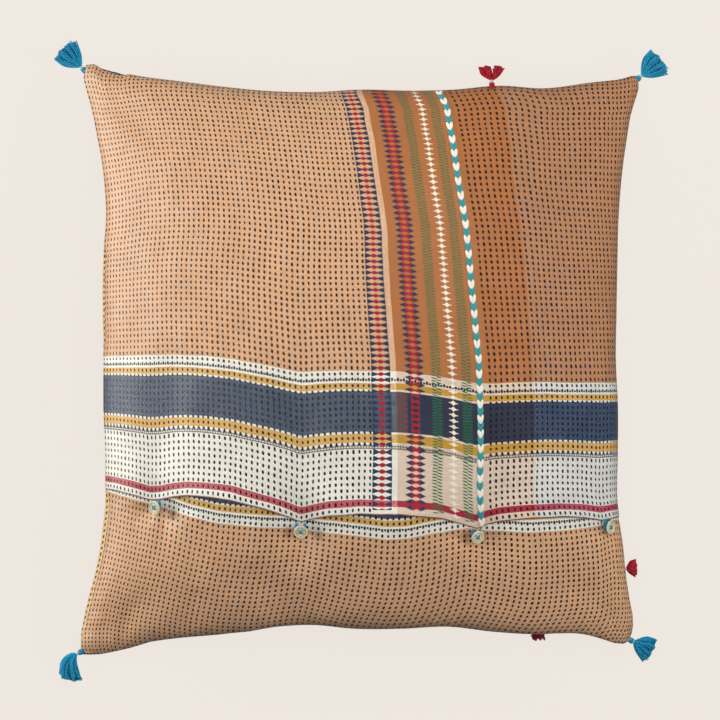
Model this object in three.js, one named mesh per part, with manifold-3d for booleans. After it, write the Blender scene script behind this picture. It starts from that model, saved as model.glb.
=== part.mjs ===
// A square throw pillow lying on its front, with its buttoned back facing up.
// Millimetres, +Z up. The origin is the middle of the flat patch that the pillow rests on.
// X runs across the pillow and Y runs from the buttoned opening up to the far seam.

import * as THREE from 'three';
import { mergeVertices } from 'three/addons/utils/BufferGeometryUtils.js';
import Module from 'manifold-3d';

const wasm = await Module();
wasm.setup();

// Outline: the four corner points, and how far each side is drawn in between them.
// Left and right are read from the lower corner up, top and bottom from the left corner across.
const CORNERS = {
  lowerLeft: new THREE.Vector2(-244.6, -257.8),
  lowerRight: new THREE.Vector2(239.4, -247.3),
  upperLeft: new THREE.Vector2(-239.4, 257.0),
  upperRight: new THREE.Vector2(243.8, 248.2),
};
const DRAWN_IN = [
  { left: 0.0, right: 0.0, top: 0.0, bottom: 0.0 },
  { left: 3.8, right: 4.4, top: 6.1, bottom: 3.9 },
  { left: 13.0, right: 8.3, top: 10.8, bottom: 10.7 },
  { left: 18.2, right: 14.6, top: 15.1, bottom: 14.0 },
  { left: 18.5, right: 14.7, top: 18.2, bottom: 18.5 },
  { left: 16.5, right: 15.0, top: 18.2, bottom: 20.2 },
  { left: 15.9, right: 17.2, top: 15.4, bottom: 15.8 },
  { left: 14.2, right: 17.0, top: 15.6, bottom: 15.0 },
  { left: 14.1, right: 16.6, top: 13.9, bottom: 15.8 },
  { left: 16.9, right: 15.9, top: 9.7, bottom: 10.3 },
  { left: 13.3, right: 12.9, top: 11.1, bottom: 7.1 },
  { left: 5.2, right: 7.2, top: 5.2, bottom: 8.8 },
  { left: 0.0, right: 0.0, top: 0.0, bottom: 0.0 },
];

// Filling: how high the seam lies, how far the back crowns above it and the front hangs below.
const SEAM_HEIGHT = 66;
const CORNER_DROP = 30;
const CORNER_DROP_POWER = 3;
const CROWN_ABOVE_SEAM = 78;
const FRONT_BELOW_SEAM = 84;
const CROWN_SQUARENESS = 2.2;
const CROWN_FULLNESS = 0.55;
const SEAM_RIDGE = 2.4;
const COLUMNS = 30;
const ROWS_BELOW_HEM = 10;
const ROWS_ABOVE_HEM = 20;
const EDGE_CROWDING = 0.62; // share of a quarter turn in the sine that crowds the grid at the seams
const FOLD_ONSET = 1.6; // folds reach their full depth once fullness passes one over this
const NORMAL_STEP = 0.004; // length of the steps that feel out the skin's direction

// Walks that find a place on the plan: first guesses, step sizes and how many steps.
const HALF_SPAN = { x: 226, y: 240 };
const WALK_SPAN = { x: 240, y: 250 };
const WALK_STEPS = 30;
const HEM_SEARCH = { low: -0.9, high: 0.2, halvings: 24 };

// Hem of the upper back panel, from the left seam to the right seam, low at each button.
const HEM_LINE = [
  { x: -226, y: -113 },
  { x: -203, y: -116 },
  { x: -181, y: -122 },
  { x: -163, y: -120.5 },
  { x: -141, y: -123 },
  { x: -105, y: -128 },
  { x: -78, y: -132 },
  { x: -52, y: -140.5 },
  { x: -26, y: -137.5 },
  { x: 0, y: -133.5 },
  { x: 35, y: -134.5 },
  { x: 70, y: -138 },
  { x: 103, y: -146.5 },
  { x: 123, y: -143 },
  { x: 176, y: -139 },
  { x: 211, y: -139.5 },
  { x: 226, y: -137 },
];
// How far the hem stands off the lower panel midway between its fastenings.
const HEM_GAPES = [
  { from: -226, to: -178, gape: 1.0 },
  { from: -178, to: -51.5, gape: 5.0 },
  { from: -51.5, to: 102, gape: 6.0 },
  { from: 102, to: 220, gape: 2.5 },
];
const GAPE_FADE = 38;

// Soft folds in the back, each deepest at its start and gone at its end.
const FOLDS = [
  { name: 'first button', x: -178.6, y: -129.8, toX: -178.6, toY: -129.8, width: 20, depth: 5 },
  { name: 'second button', x: -51.9, y: -149.3, toX: -51.9, toY: -149.3, width: 22, depth: 6 },
  { name: 'third button', x: 102.4, y: -154.0, toX: 102.4, toY: -154.0, width: 22, depth: 6 },
  { name: 'above the first button', x: -178, y: -112, toX: -163, toY: 20, width: 17, depth: 4.5 },
  { name: 'above the second button', x: -52, y: -132, toX: -58, toY: 30, width: 19, depth: 6 },
  { name: 'above the third button', x: 104, y: -138, toX: 112, toY: 10, width: 18, depth: 4.5 },
  { name: 'below the second button', x: -50, y: -160, toX: -66, toY: -205, width: 12, depth: 3 },
  { name: 'below the third button', x: 103, y: -166, toX: 96, toY: -212, width: 12, depth: 3 },
  { name: 'left corner, low', x: -226, y: -226, toX: -158, toY: -178, width: 15, depth: 9 },
  { name: 'right corner, low', x: 222, y: -226, toX: 160, toY: -180, width: 14, depth: 6 },
  { name: 'bottom, left dent', x: -60, y: -228, toX: -96, toY: -178, width: 17, depth: 8 },
  { name: 'bottom, right dent', x: 84, y: -228, toX: 96, toY: -186, width: 16, depth: 5 },
  { name: 'bottom, last dent', x: 182, y: -230, toX: 168, toY: -190, width: 13, depth: 4 },
  { name: 'top, middle dent', x: 62, y: 228, toX: 48, toY: 170, width: 16, depth: 4 },
  { name: 'top, right dent', x: 138, y: 226, toX: 132, toY: 176, width: 16, depth: 4 },
  { name: 'top left corner', x: -218, y: 232, toX: -160, toY: 176, width: 15, depth: 5 },
];

// Cloth sheets and what is sewn on them.
const SHEET_THICKNESS = 1.6;
const SHEET_CLEARANCE = 0.6;
const SHEET_INSET = 0.985; // share of the way to the seam at which the sheet's sides stop
const BRAID_WIDTH = 5.2;
const BRAID_THICKNESS = 1.4;
const BRAID_CLEARANCE = 1.35;
const BRAID_STEPS = 40;
// Where the braid crosses the panel: height from hem (0) to top seam (1), place across (-1 to 1).
const BRAID_LINE = [
  { height: 0.012, across: 0.465 },
  { height: 0.2, across: 0.467 },
  { height: 0.4, across: 0.468 },
  { height: 0.52, across: 0.446 },
  { height: 0.62, across: 0.421 },
  { height: 0.72, across: 0.391 },
  { height: 0.82, across: 0.355 },
  { height: 0.9, across: 0.328 },
  { height: 0.97, across: 0.295 },
];

// Buttons, their thread and the loops that hold them.
const BUTTONS = [
  { x: -178.6, y: -129.8, lift: 0.5 },
  { x: -51.9, y: -149.3, lift: 0.9 },
  { x: 102.4, y: -154.0, lift: 0.5 },
  { x: 217.0, y: -146.7, lift: 0.1 },
];
const BUTTON_PROFILE = [
  { r: 0, z: 0 },
  { r: 5.4, z: 0 },
  { r: 6.15, z: 0.7 },
  { r: 6.15, z: 1.6 },
  { r: 5.5, z: 2.2 },
  { r: 4.7, z: 2.2 },
  { r: 4.1, z: 1.5 },
  { r: 0, z: 1.5 },
];
const BUTTON_SIDES = 16;
const HOLE_RADIUS = 1.0;
const HOLE_SPACING = 1.55; // each hole's distance from the button's axis along x and y
const HOLE_CUT_TOP = 3;
const BUTTON_RISE = 4.3; // height of the button's underside above the cloth
const THREAD_RADIUS = 0.5;
const THREAD_SEAT = 0.3;
const THREAD_PLATE = 0.6; // thickness of the thread gathered under the button
const SHANK_RADIUS = 1.4;
const LOOP_CORD_RADIUS = 1.3;
const LOOP_HEIGHT = 1.75;
const LOOP_HALF_WIDTH = 4.1;
const LOOP_SEAT = 0.5;
const LOOP_CLEARANCE = 0.85; // between the loop and the shank that it passes round

// Tassels: knot place, where the skirt points and dips, how long it is and how wide it opens.
const TASSELS = [
  { name: 'upper_left', yarn: 'teal', x: -242.2, y: 255.6, z: 36, turn: 128, dip: 6, long: 24, wide: 10.5 },
  { name: 'upper_right', yarn: 'teal', x: 246.8, y: 249, z: 36, turn: 36, dip: 6, long: 24, wide: 10.5 },
  { name: 'lower_left', yarn: 'teal', x: -247.4, y: -258.6, z: 36, turn: 238, dip: 6, long: 25, wide: 9 },
  { name: 'lower_right', yarn: 'teal', x: 241.4, y: -249, z: 34, turn: 330, dip: 8, long: 22, wide: 9.5 },
  { name: 'red_top', yarn: 'red', x: 116, y: 242, z: 76, turn: 88, dip: 12, long: 16, wide: 11 },
  { name: 'red_right', yarn: 'red', x: 230.6, y: -184, z: 39.5, turn: 2, dip: 10, long: 16, wide: 9 },
  { name: 'red_bottom', yarn: 'red', x: 157, y: -238.4, z: 40, turn: 270, dip: 66, long: 17, wide: 5.5 },
];
const KNOT_RADIUS = 2.4;
const NECK_START_RADIUS = 1.4;
const NECK_END_RADIUS = 2.0;
const NECK_LENGTH = 5.2;
const LOCKS_PER_TASSEL = 14;
const LOCK_RADIUS = 1.0;
const LOCK_TIP_RADIUS = 0.6;
const LOCK_SIDES = 3;
const LOCK_STEPS = 2;
const LOCK_ROOT_DEPTH = 1.5; // how deep each lock starts inside the neck
const LOCK_KNEE = { along: 0.25, aside: 0.42 }; // where a lock bends, as shares of its length and reach
const SKIRT_FLATNESS = 0.62; // thickness of the fanned skirt against its width
const SKIRT_LENGTHS = { middle: 1.04, edge: 0.86 }; // lock lengths as shares of the skirt's length

const COLOURS = {
  cloth: 0xc99468,
  orange: 0xbe7a4d,
  horn: 0xd6cba4,
  teal: 0x0f86a8,
  red: 0xa3162c,
  braid: 0xe6e0d2,
};
const ROUGHNESS = { cloth: 0.9, yarn: 0.8, horn: 0.4 };

const clamp = THREE.MathUtils.clamp;
const lerp = THREE.MathUtils.lerp;

// Value of one column of a table at a place along another, joined by straight steps.
function readTable(table, along, column, place) {
  const last = table.length - 1;
  let row = 0;
  while (row < last - 1 && place > table[row + 1][along]) row += 1;
  const [from, to] = [table[row], table[row + 1]];
  const share = clamp((place - from[along]) / (to[along] - from[along]), 0, 1);
  return lerp(from[column], to[column], share);
}

// A side of the outline as a smooth curve from one corner to the next.
function sideCurve(from, to, column, inwardSign) {
  const along = to.clone().sub(from);
  const inward = new THREE.Vector2(-along.y, along.x).normalize().multiplyScalar(inwardSign);
  const points = DRAWN_IN.map((row, index) => {
    const share = index / (DRAWN_IN.length - 1);
    return from.clone().addScaledVector(along, share).addScaledVector(inward, row[column]);
  });
  return new THREE.SplineCurve(points);
}

const SIDES = {
  left: sideCurve(CORNERS.lowerLeft, CORNERS.upperLeft, 'left', -1),
  right: sideCurve(CORNERS.lowerRight, CORNERS.upperRight, 'right', 1),
  top: sideCurve(CORNERS.upperLeft, CORNERS.upperRight, 'top', -1),
  bottom: sideCurve(CORNERS.lowerLeft, CORNERS.lowerRight, 'bottom', 1),
};

// Plan position for across and up, each from -1 to 1, blended from the four sides.
function planPoint(across, up) {
  const s = (across + 1) / 2;
  const t = (up + 1) / 2;
  const plan = new THREE.Vector2();
  plan.addScaledVector(SIDES.bottom.getPoint(s), 1 - t).addScaledVector(SIDES.top.getPoint(s), t);
  plan.addScaledVector(SIDES.left.getPoint(t), 1 - s).addScaledVector(SIDES.right.getPoint(t), s);
  plan.addScaledVector(CORNERS.lowerLeft, -(1 - s) * (1 - t));
  plan.addScaledVector(CORNERS.lowerRight, -s * (1 - t));
  plan.addScaledVector(CORNERS.upperLeft, -(1 - s) * t);
  plan.addScaledVector(CORNERS.upperRight, -s * t);
  return plan;
}

// Height of the hem line above the lower corners, as the up value where it crosses a column.
function hemUp(across) {
  let { low, high } = HEM_SEARCH;
  for (let halving = 0; halving < HEM_SEARCH.halvings; halving += 1) {
    const middle = (low + high) / 2;
    const plan = planPoint(across, middle);
    if (plan.y < readTable(HEM_LINE, 'x', 'y', plan.x)) low = middle;
    else high = middle;
  }
  return (low + high) / 2;
}

function seamHeight(across, up) {
  return SEAM_HEIGHT - CORNER_DROP * Math.abs(across * up) ** CORNER_DROP_POWER;
}

function fullness(across, up) {
  const side = 1 - Math.min(1, Math.abs(across)) ** CROWN_SQUARENESS;
  const end = 1 - Math.min(1, Math.abs(up)) ** CROWN_SQUARENESS;
  return (side * end) ** CROWN_FULLNESS;
}

// Depth of all the soft folds at a plan position.
function foldDepth(x, y) {
  let depth = 0;
  for (const fold of FOLDS) {
    const run = new THREE.Vector2(fold.toX - fold.x, fold.toY - fold.y);
    const offset = new THREE.Vector2(x - fold.x, y - fold.y);
    const reach = run.lengthSq();
    const share = reach > 0 ? clamp(offset.dot(run) / reach, 0, 1) : 0;
    const distance = offset.addScaledVector(run, -share).length();
    depth += fold.depth * (1 - share * share) * Math.exp(-((distance / fold.width) ** 2));
  }
  return depth;
}

// The cushion's back (facing up) and front (facing down) skins.
function backPoint(across, up) {
  const plan = planPoint(across, up);
  const full = fullness(across, up);
  const fold = foldDepth(plan.x, plan.y) * Math.min(1, FOLD_ONSET * full);
  const z = seamHeight(across, up) + SEAM_RIDGE / 2 + CROWN_ABOVE_SEAM * full - fold;
  return new THREE.Vector3(plan.x, plan.y, z);
}

function frontPoint(across, up) {
  const plan = planPoint(across, up);
  const z = seamHeight(across, up) - SEAM_RIDGE / 2 - FRONT_BELOW_SEAM * fullness(across, up);
  return new THREE.Vector3(plan.x, plan.y, Math.max(0, z));
}

// Outward direction of the back skin, from two short steps along it.
function backNormal(across, up) {
  const left = backPoint(Math.max(-1, across - NORMAL_STEP), up);
  const right = backPoint(Math.min(1, across + NORMAL_STEP), up);
  const below = backPoint(across, Math.max(-1, up - NORMAL_STEP));
  const above = backPoint(across, Math.min(1, up + NORMAL_STEP));
  return right.sub(left).cross(above.sub(below)).normalize();
}

// Crowds evenly spread shares from -1 to 1 towards the seams, where the cloth turns.
function crowded(share) {
  const turn = EDGE_CROWDING * Math.PI / 2;
  return Math.sin(share * turn) / Math.sin(turn);
}

// Across value of a grid column; the first and last cells lie between the sheet's side and the seam.
function gridAcross(column) {
  if (column === 0) return -1;
  if (column === COLUMNS) return 1;
  return SHEET_INSET * crowded(2 * (column - 1) / (COLUMNS - 2) - 1);
}

// Up value at a share of the way from the hem (0) to the top seam (1) or the bottom seam (-1).
function rowUp(across, height) {
  const hem = hemUp(across);
  const reach = Math.abs(height);
  const share = (crowded(reach) + reach) / 2;
  return height < 0 ? lerp(hem, -1, share) : lerp(hem, 1, share);
}

// Height share of a grid row; the last row above the hem lies between the sheet's top and the seam.
function gridHeight(row) {
  const step = row - ROWS_BELOW_HEM;
  if (step < 0) return step / ROWS_BELOW_HEM;
  return step === ROWS_ABOVE_HEM ? 1 : SHEET_INSET * step / (ROWS_ABOVE_HEM - 1);
}

// A closed skin from two faces of the same grid and the rim between them.
// place(column, row, side) gives each point, with side 1 outside and side 0 inside.
function closedSkin(columns, rows, place) {
  const positions = [];
  for (const side of [0, 1]) {
    for (let row = 0; row <= rows; row += 1) {
      for (let column = 0; column <= columns; column += 1) {
        positions.push(...place(column, row, side).toArray());
      }
    }
  }
  const at = (column, row, side) => (side * (rows + 1) + row) * (columns + 1) + column;
  const index = [];
  const quad = (a, b, c, d) => index.push(a, b, d, b, c, d);
  const cell = (column, row, side) => [
    at(column, row + 1, side),
    at(column, row, side),
    at(column + 1, row, side),
    at(column + 1, row + 1, side),
  ];
  for (let row = 0; row < rows; row += 1) {
    for (let column = 0; column < columns; column += 1) {
      quad(...cell(column, row, 1));
      const [a, b, c, d] = cell(column, row, 0);
      index.push(b, a, d, c, b, d);
    }
  }
  for (let column = 0; column < columns; column += 1) {
    quad(at(column, 0, 1), at(column, 0, 0), at(column + 1, 0, 0), at(column + 1, 0, 1));
    quad(at(column + 1, rows, 1), at(column + 1, rows, 0), at(column, rows, 0), at(column, rows, 1));
  }
  for (let row = 0; row < rows; row += 1) {
    quad(at(0, row + 1, 1), at(0, row + 1, 0), at(0, row, 0), at(0, row, 1));
    quad(at(columns, row, 1), at(columns, row, 0), at(columns, row + 1, 0), at(columns, row + 1, 1));
  }
  const geometry = new THREE.BufferGeometry();
  geometry.setAttribute('position', new THREE.Float32BufferAttribute(positions, 3));
  geometry.setIndex(index);
  geometry.computeVertexNormals();
  return geometry;
}

function cushionBody() {
  return closedSkin(COLUMNS, ROWS_BELOW_HEM + ROWS_ABOVE_HEM, (column, row, side) => {
    const across = gridAcross(column);
    const up = rowUp(across, gridHeight(row));
    return side === 1 ? backPoint(across, up) : frontPoint(across, up);
  });
}

// How far the upper panel stands off the lower one, near its hem and between the buttons.
function hemGape(x, aboveHem) {
  const span = HEM_GAPES.find((row) => x >= row.from && x <= row.to);
  if (!span) return 0;
  const share = (x - span.from) / (span.to - span.from);
  return span.gape * Math.sin(Math.PI * share) ** 2 * Math.exp(-aboveHem / GAPE_FADE);
}

// A point above the back skin, where the height is a share of the way from hem to top seam.
function panelPoint(across, height, rise) {
  const up = rowUp(across, height);
  const point = backPoint(across, up);
  const hem = planPoint(across, hemUp(across));
  const gape = hemGape(point.x, point.y - hem.y);
  return point.addScaledVector(backNormal(across, up), rise + gape);
}

function upperPanel() {
  return closedSkin(COLUMNS - 2, ROWS_ABOVE_HEM - 1, (column, row, side) => {
    const rise = SHEET_CLEARANCE + side * SHEET_THICKNESS;
    return panelPoint(gridAcross(column + 1), gridHeight(row + ROWS_BELOW_HEM), rise);
  });
}

// Height of a piece's upper face straight below a plan position.
function heightOn(mesh, x, y) {
  const above = new THREE.Vector3(x, y, 2 * (SEAM_HEIGHT + CROWN_ABOVE_SEAM));
  const hits = new THREE.Raycaster(above, new THREE.Vector3(0, 0, -1)).intersectObject(mesh);
  return hits[0].point.z;
}

// Braid along the panel, with a ridge down its middle.
function braid(panel) {
  const sides = 2;
  const start = BRAID_LINE[0];
  const end = BRAID_LINE[BRAID_LINE.length - 1];
  const halfWidth = BRAID_WIDTH / 2 / planPoint(1, 0).x;
  return closedSkin(sides, BRAID_STEPS, (column, row, side) => {
    const height = lerp(start.height, end.height, row / BRAID_STEPS);
    const middle = readTable(BRAID_LINE, 'height', 'across', height);
    const across = middle + (column / sides * 2 - 1) * halfWidth;
    const up = rowUp(across, height);
    const bulge = column === 1 ? BRAID_THICKNESS : BRAID_THICKNESS / 2;
    const point = planPoint(across, up);
    const seat = new THREE.Vector3(point.x, point.y, heightOn(panel, point.x, point.y) + BRAID_CLEARANCE);
    return seat.addScaledVector(backNormal(across, up), side * bulge);
  });
}

// Closed geometry as a solid for joining and cutting, and back again.
function solidOf(geometry) {
  const bare = geometry.index ? geometry.toNonIndexed() : geometry.clone();
  bare.deleteAttribute('normal');
  bare.deleteAttribute('uv');
  const merged = mergeVertices(bare, 1e-4);
  const vertProperties = new Float32Array(merged.attributes.position.array);
  const triVerts = new Uint32Array(merged.index.array);
  return new wasm.Manifold(new wasm.Mesh({ numProp: 3, vertProperties, triVerts }));
}

function geometryOf(solid) {
  const mesh = solid.getMesh();
  const geometry = new THREE.BufferGeometry();
  geometry.setAttribute('position', new THREE.Float32BufferAttribute(mesh.vertProperties, 3));
  geometry.setIndex(new THREE.Uint32BufferAttribute(mesh.triVerts, 1));
  geometry.computeVertexNormals();
  return geometry;
}

function joined(geometries) {
  return geometryOf(geometries.map(solidOf).reduce((whole, piece) => whole.add(piece)));
}

// An upright round bar from one height to another.
function uprightBar(radius, low, high, sides, x = 0, y = 0) {
  const bar = new THREE.CylinderGeometry(radius, radius, high - low, sides);
  bar.rotateX(Math.PI / 2);
  bar.translate(x, y, (low + high) / 2);
  return bar;
}

const HOLES = [[-1, -1], [1, -1], [1, 1], [-1, 1]].map(([x, y]) => ({
  x: x * HOLE_SPACING,
  y: y * HOLE_SPACING,
}));

// Button with a raised rim, its underside at height 0.
function buttonGeometry() {
  const profile = BUTTON_PROFILE.map((point) => new THREE.Vector2(point.r, point.z));
  const disc = new THREE.LatheGeometry(profile, BUTTON_SIDES);
  disc.rotateX(Math.PI / 2);
  let solid = solidOf(disc);
  for (const hole of HOLES) {
    solid = solid.subtract(solidOf(uprightBar(HOLE_RADIUS, -1, HOLE_CUT_TOP, 6, hole.x, hole.y)));
  }
  return geometryOf(solid);
}

// Thread of one button: a shank under it, four strands through its holes and a cross on top.
function threadGeometry() {
  const dish = BUTTON_PROFILE[BUTTON_PROFILE.length - 1].z;
  const crossLow = dish + THREAD_SEAT;
  const crossHigh = crossLow + 2 * THREAD_RADIUS;
  const plateHigh = -THREAD_SEAT;
  const plateLow = plateHigh - THREAD_PLATE;
  const pieces = [
    uprightBar(HOLE_SPACING * Math.SQRT2 + THREAD_RADIUS, plateLow, plateHigh, 8),
    uprightBar(SHANK_RADIUS, THREAD_SEAT - BUTTON_RISE, plateHigh, 6),
  ];
  for (const hole of HOLES) {
    pieces.push(uprightBar(THREAD_RADIUS, plateLow, crossHigh, 4, hole.x, hole.y));
  }
  const crossLength = 2 * HOLE_SPACING * Math.SQRT2;
  for (const turn of [Math.PI / 4, -Math.PI / 4]) {
    const bar = new THREE.BoxGeometry(crossLength, 2 * THREAD_RADIUS, 2 * THREAD_RADIUS);
    bar.rotateZ(turn);
    bar.translate(0, 0, (crossLow + crossHigh) / 2);
    pieces.push(bar);
  }
  return joined(pieces);
}

// Thread loop that leaves the hem, passes round the shank and goes back to the hem.
// The reach is how far the hem lies from the button's axis.
function loopGeometry(reach) {
  const turnRadius = SHANK_RADIUS + LOOP_CLEARANCE + LOOP_CORD_RADIUS;
  const path = new THREE.CatmullRomCurve3([
    new THREE.Vector3(-LOOP_HALF_WIDTH, reach, 0),
    new THREE.Vector3(-LOOP_HALF_WIDTH, reach / 2, 0),
    new THREE.Vector3(-turnRadius, 0, 0),
    new THREE.Vector3(0, -turnRadius, 0),
    new THREE.Vector3(turnRadius, 0, 0),
    new THREE.Vector3(LOOP_HALF_WIDTH, reach / 2, 0),
    new THREE.Vector3(LOOP_HALF_WIDTH, reach, 0),
  ]);
  const section = new THREE.Shape();
  section.absarc(0, 0, LOOP_CORD_RADIUS, 0, 2 * Math.PI);
  const cord = new THREE.ExtrudeGeometry(section, { steps: 12, extrudePath: path, curveSegments: 3 });
  cord.translate(0, 0, LOOP_HEIGHT - BUTTON_RISE);
  return cord;
}

// Across and up values of a plan position, found by walking towards it.
function placeOf(x, y) {
  let across = x / HALF_SPAN.x;
  let up = y / HALF_SPAN.y;
  for (let walk = 0; walk < WALK_STEPS; walk += 1) {
    const plan = planPoint(across, up);
    across += (x - plan.x) / WALK_SPAN.x;
    up += (y - plan.y) / WALK_SPAN.y;
  }
  return { across, up };
}

// One button with its thread and loop, standing on the cushion body.
function fastening(row, index, body) {
  const { across, up } = placeOf(row.x, row.y);
  const normal = backNormal(across, up);
  const holder = new THREE.Group();
  holder.position.set(row.x, row.y, heightOn(body, row.x, row.y));
  holder.position.addScaledVector(normal, BUTTON_RISE + row.lift);
  holder.quaternion.setFromUnitVectors(new THREE.Vector3(0, 0, 1), normal);
  holder.updateMatrixWorld();
  const hemY = readTable(HEM_LINE, 'x', 'y', row.x);
  const hem = holder.worldToLocal(new THREE.Vector3(row.x, hemY, heightOn(body, row.x, hemY)));
  const number = index + 1;
  holder.add(piece(`button_${number}`, buttonGeometry(), COLOURS.horn, ROUGHNESS.horn));
  holder.add(piece(`button_thread_${number}`, threadGeometry(), COLOURS.teal, ROUGHNESS.yarn));
  const loop = loopGeometry(hem.y - LOOP_SEAT);
  holder.add(piece(`button_loop_${number}`, loop, COLOURS.teal, ROUGHNESS.yarn));
  return holder;
}

// One lock of yarn, bent along a curve from the neck to its own place at the skirt's end.
function lockGeometry(length, aside, out) {
  const root = new THREE.Vector3(NECK_LENGTH - LOCK_ROOT_DEPTH, 0, 0);
  const kneeAt = NECK_LENGTH + length * LOCK_KNEE.along;
  const knee = new THREE.Vector3(kneeAt, aside * LOCK_KNEE.aside, out * LOCK_KNEE.aside);
  const tip = new THREE.Vector3(NECK_LENGTH + length, aside, out);
  const path = new THREE.QuadraticBezierCurve3(root, knee, tip);
  const lock = new THREE.CylinderGeometry(LOCK_TIP_RADIUS, LOCK_RADIUS, 1, LOCK_SIDES, LOCK_STEPS);
  const position = lock.attributes.position;
  for (let index = 0; index < position.count; index += 1) {
    const share = clamp(position.getY(index) + 0.5, 0, 1);
    const centre = path.getPoint(share);
    centre.y += position.getZ(index);
    centre.z += position.getX(index);
    position.setXYZ(index, centre.x, centre.y, centre.z);
  }
  return lock;
}

// Tassel along +X: a knot, a bound neck and a fanned skirt of locks fused at their roots.
function tasselGeometry(row) {
  const knot = new THREE.IcosahedronGeometry(KNOT_RADIUS, 1);
  const neck = new THREE.CylinderGeometry(NECK_END_RADIUS, NECK_START_RADIUS, NECK_LENGTH, 8);
  neck.rotateZ(-Math.PI / 2);
  neck.translate(NECK_LENGTH / 2, 0, 0);
  const pieces = [knot, neck];
  const goldenTurn = Math.PI * (3 - Math.sqrt(5));
  const skirt = row.long - NECK_LENGTH;
  for (let number = 0; number < LOCKS_PER_TASSEL; number += 1) {
    const ring = Math.sqrt((number + 0.5) / LOCKS_PER_TASSEL);
    const aside = row.wide * ring * Math.cos(number * goldenTurn);
    const out = row.wide * SKIRT_FLATNESS * ring * Math.sin(number * goldenTurn);
    const share = lerp(SKIRT_LENGTHS.middle, SKIRT_LENGTHS.edge, ring * ring);
    pieces.push(lockGeometry(skirt * share, aside, out));
  }
  return joined(pieces);
}

function piece(name, geometry, colour, roughness) {
  const finish = new THREE.MeshStandardMaterial({ color: colour, roughness, metalness: 0 });
  const mesh = new THREE.Mesh(geometry, finish);
  mesh.name = name;
  return mesh;
}

function tassel(row) {
  const mesh = piece(`tassel_${row.name}`, tasselGeometry(row), COLOURS[row.yarn], ROUGHNESS.yarn);
  mesh.position.set(row.x, row.y, row.z);
  mesh.rotation.set(0, THREE.MathUtils.degToRad(row.dip), THREE.MathUtils.degToRad(row.turn), 'ZYX');
  return mesh;
}

const pillow = new THREE.Group();
const body = piece('cushion_body', cushionBody(), COLOURS.cloth, ROUGHNESS.cloth);
const panel = piece('upper_back_panel', upperPanel(), COLOURS.orange, ROUGHNESS.cloth);
pillow.add(body, panel);
pillow.add(piece('chain_braid', braid(panel), COLOURS.braid, ROUGHNESS.yarn));
BUTTONS.forEach((row, index) => pillow.add(fastening(row, index, body)));
TASSELS.forEach((row) => pillow.add(tassel(row)));

export default pillow;
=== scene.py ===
"""Looks of a square throw pillow that lies on its front, with its buttoned back facing up.

Everything is in metres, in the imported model's frame: X runs across the pillow, Y from the
buttoned opening up to the far seam, and Z up. Tables of sizes are in millimetres, as a maker
measures them, and are turned into metres where a mesh is made.
"""

import logging
import math
from dataclasses import dataclass, field
from enum import Enum
from typing import Sequence, Union

import bmesh
import bpy
import numpy as np
from mathutils import Matrix, Vector


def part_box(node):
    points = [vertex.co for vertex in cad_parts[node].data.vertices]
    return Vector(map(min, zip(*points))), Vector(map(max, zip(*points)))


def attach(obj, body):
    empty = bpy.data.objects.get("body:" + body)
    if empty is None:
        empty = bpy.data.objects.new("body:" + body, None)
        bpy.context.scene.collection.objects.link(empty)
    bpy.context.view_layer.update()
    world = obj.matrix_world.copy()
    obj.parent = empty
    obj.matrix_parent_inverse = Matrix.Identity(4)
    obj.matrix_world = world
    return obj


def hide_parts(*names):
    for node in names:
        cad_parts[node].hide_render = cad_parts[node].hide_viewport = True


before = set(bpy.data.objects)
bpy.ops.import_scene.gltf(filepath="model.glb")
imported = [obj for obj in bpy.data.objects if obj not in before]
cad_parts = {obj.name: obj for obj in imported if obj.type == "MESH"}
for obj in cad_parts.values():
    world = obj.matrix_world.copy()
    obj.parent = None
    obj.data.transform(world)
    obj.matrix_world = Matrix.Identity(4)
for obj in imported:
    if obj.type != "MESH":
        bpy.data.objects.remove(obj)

MM = 0.001
BODY = "root"
WEAVE_MAP = "weave"
TURNED_MARK = "from_axis"
FUZZ_ROUGHNESS = 0.45
ROW_MIDDLE = -0.5
LOG = logging.getLogger("pillow")

Rows = Sequence[tuple[float, float]]
Socket = bpy.types.NodeSocket
Value = Union[float, Socket]


def linear(code: int) -> tuple[float, float, float, float]:
    """Turns a screen colour such as 0xC08040 into the shader's linear colour.

    Args:
        code: red, green and blue as one six-digit hexadecimal number.

    Returns:
        Red, green, blue and an alpha of one.
    """
    channels = ((code >> shift & 255) / 255 for shift in (16, 8, 0))
    curved = [c / 12.92 if c <= 0.04045 else ((c + 0.055) / 1.055) ** 2.4 for c in channels]
    return (*curved, 1.0)


def read_rows(rows: Rows, place: np.ndarray) -> np.ndarray:
    """Reads a table of (place, value) rows with straight steps between them."""
    places, values = zip(*rows)
    return np.interp(place, places, values)


def smooth_line(points: np.ndarray, share: np.ndarray) -> np.ndarray:
    """Follows a smooth line through evenly spaced points.

    Args:
        points: the points, one a row.
        share: how far along the line, from 0 to 1.

    Returns:
        The point at each share.
    """
    last = len(points) - 1
    place = np.clip(share, 0, 1) * last
    index = np.minimum(place.astype(int), last - 1)
    weight = (place - index)[..., None]
    before = points[np.maximum(index - 1, 0)]
    start = points[index]
    end = points[index + 1]
    after = points[np.minimum(index + 2, last)]
    leave = (end - before) / 2
    arrive = (after - start) / 2
    cubic = (2 * start - 2 * end + leave + arrive) * weight**3
    square = (3 * end - 3 * start - 2 * leave - arrive) * weight**2
    return cubic + square + leave * weight + start


def crowd(share: np.ndarray, amount: float) -> np.ndarray:
    """Crowds even shares from -1 to 1 towards both ends, where cloth turns into a seam."""
    turn = amount * math.pi / 2
    return np.sin(share * turn) / math.sin(turn)


def put(name: str, data: bpy.types.ID) -> bpy.types.Object:
    """Adds an object to the scene.

    Args:
        name: the object's name.
        data: its mesh, curve, camera or light.

    Returns:
        The object.
    """
    thing = bpy.data.objects.new(name, data)
    bpy.context.collection.objects.link(thing)
    return thing


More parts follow.
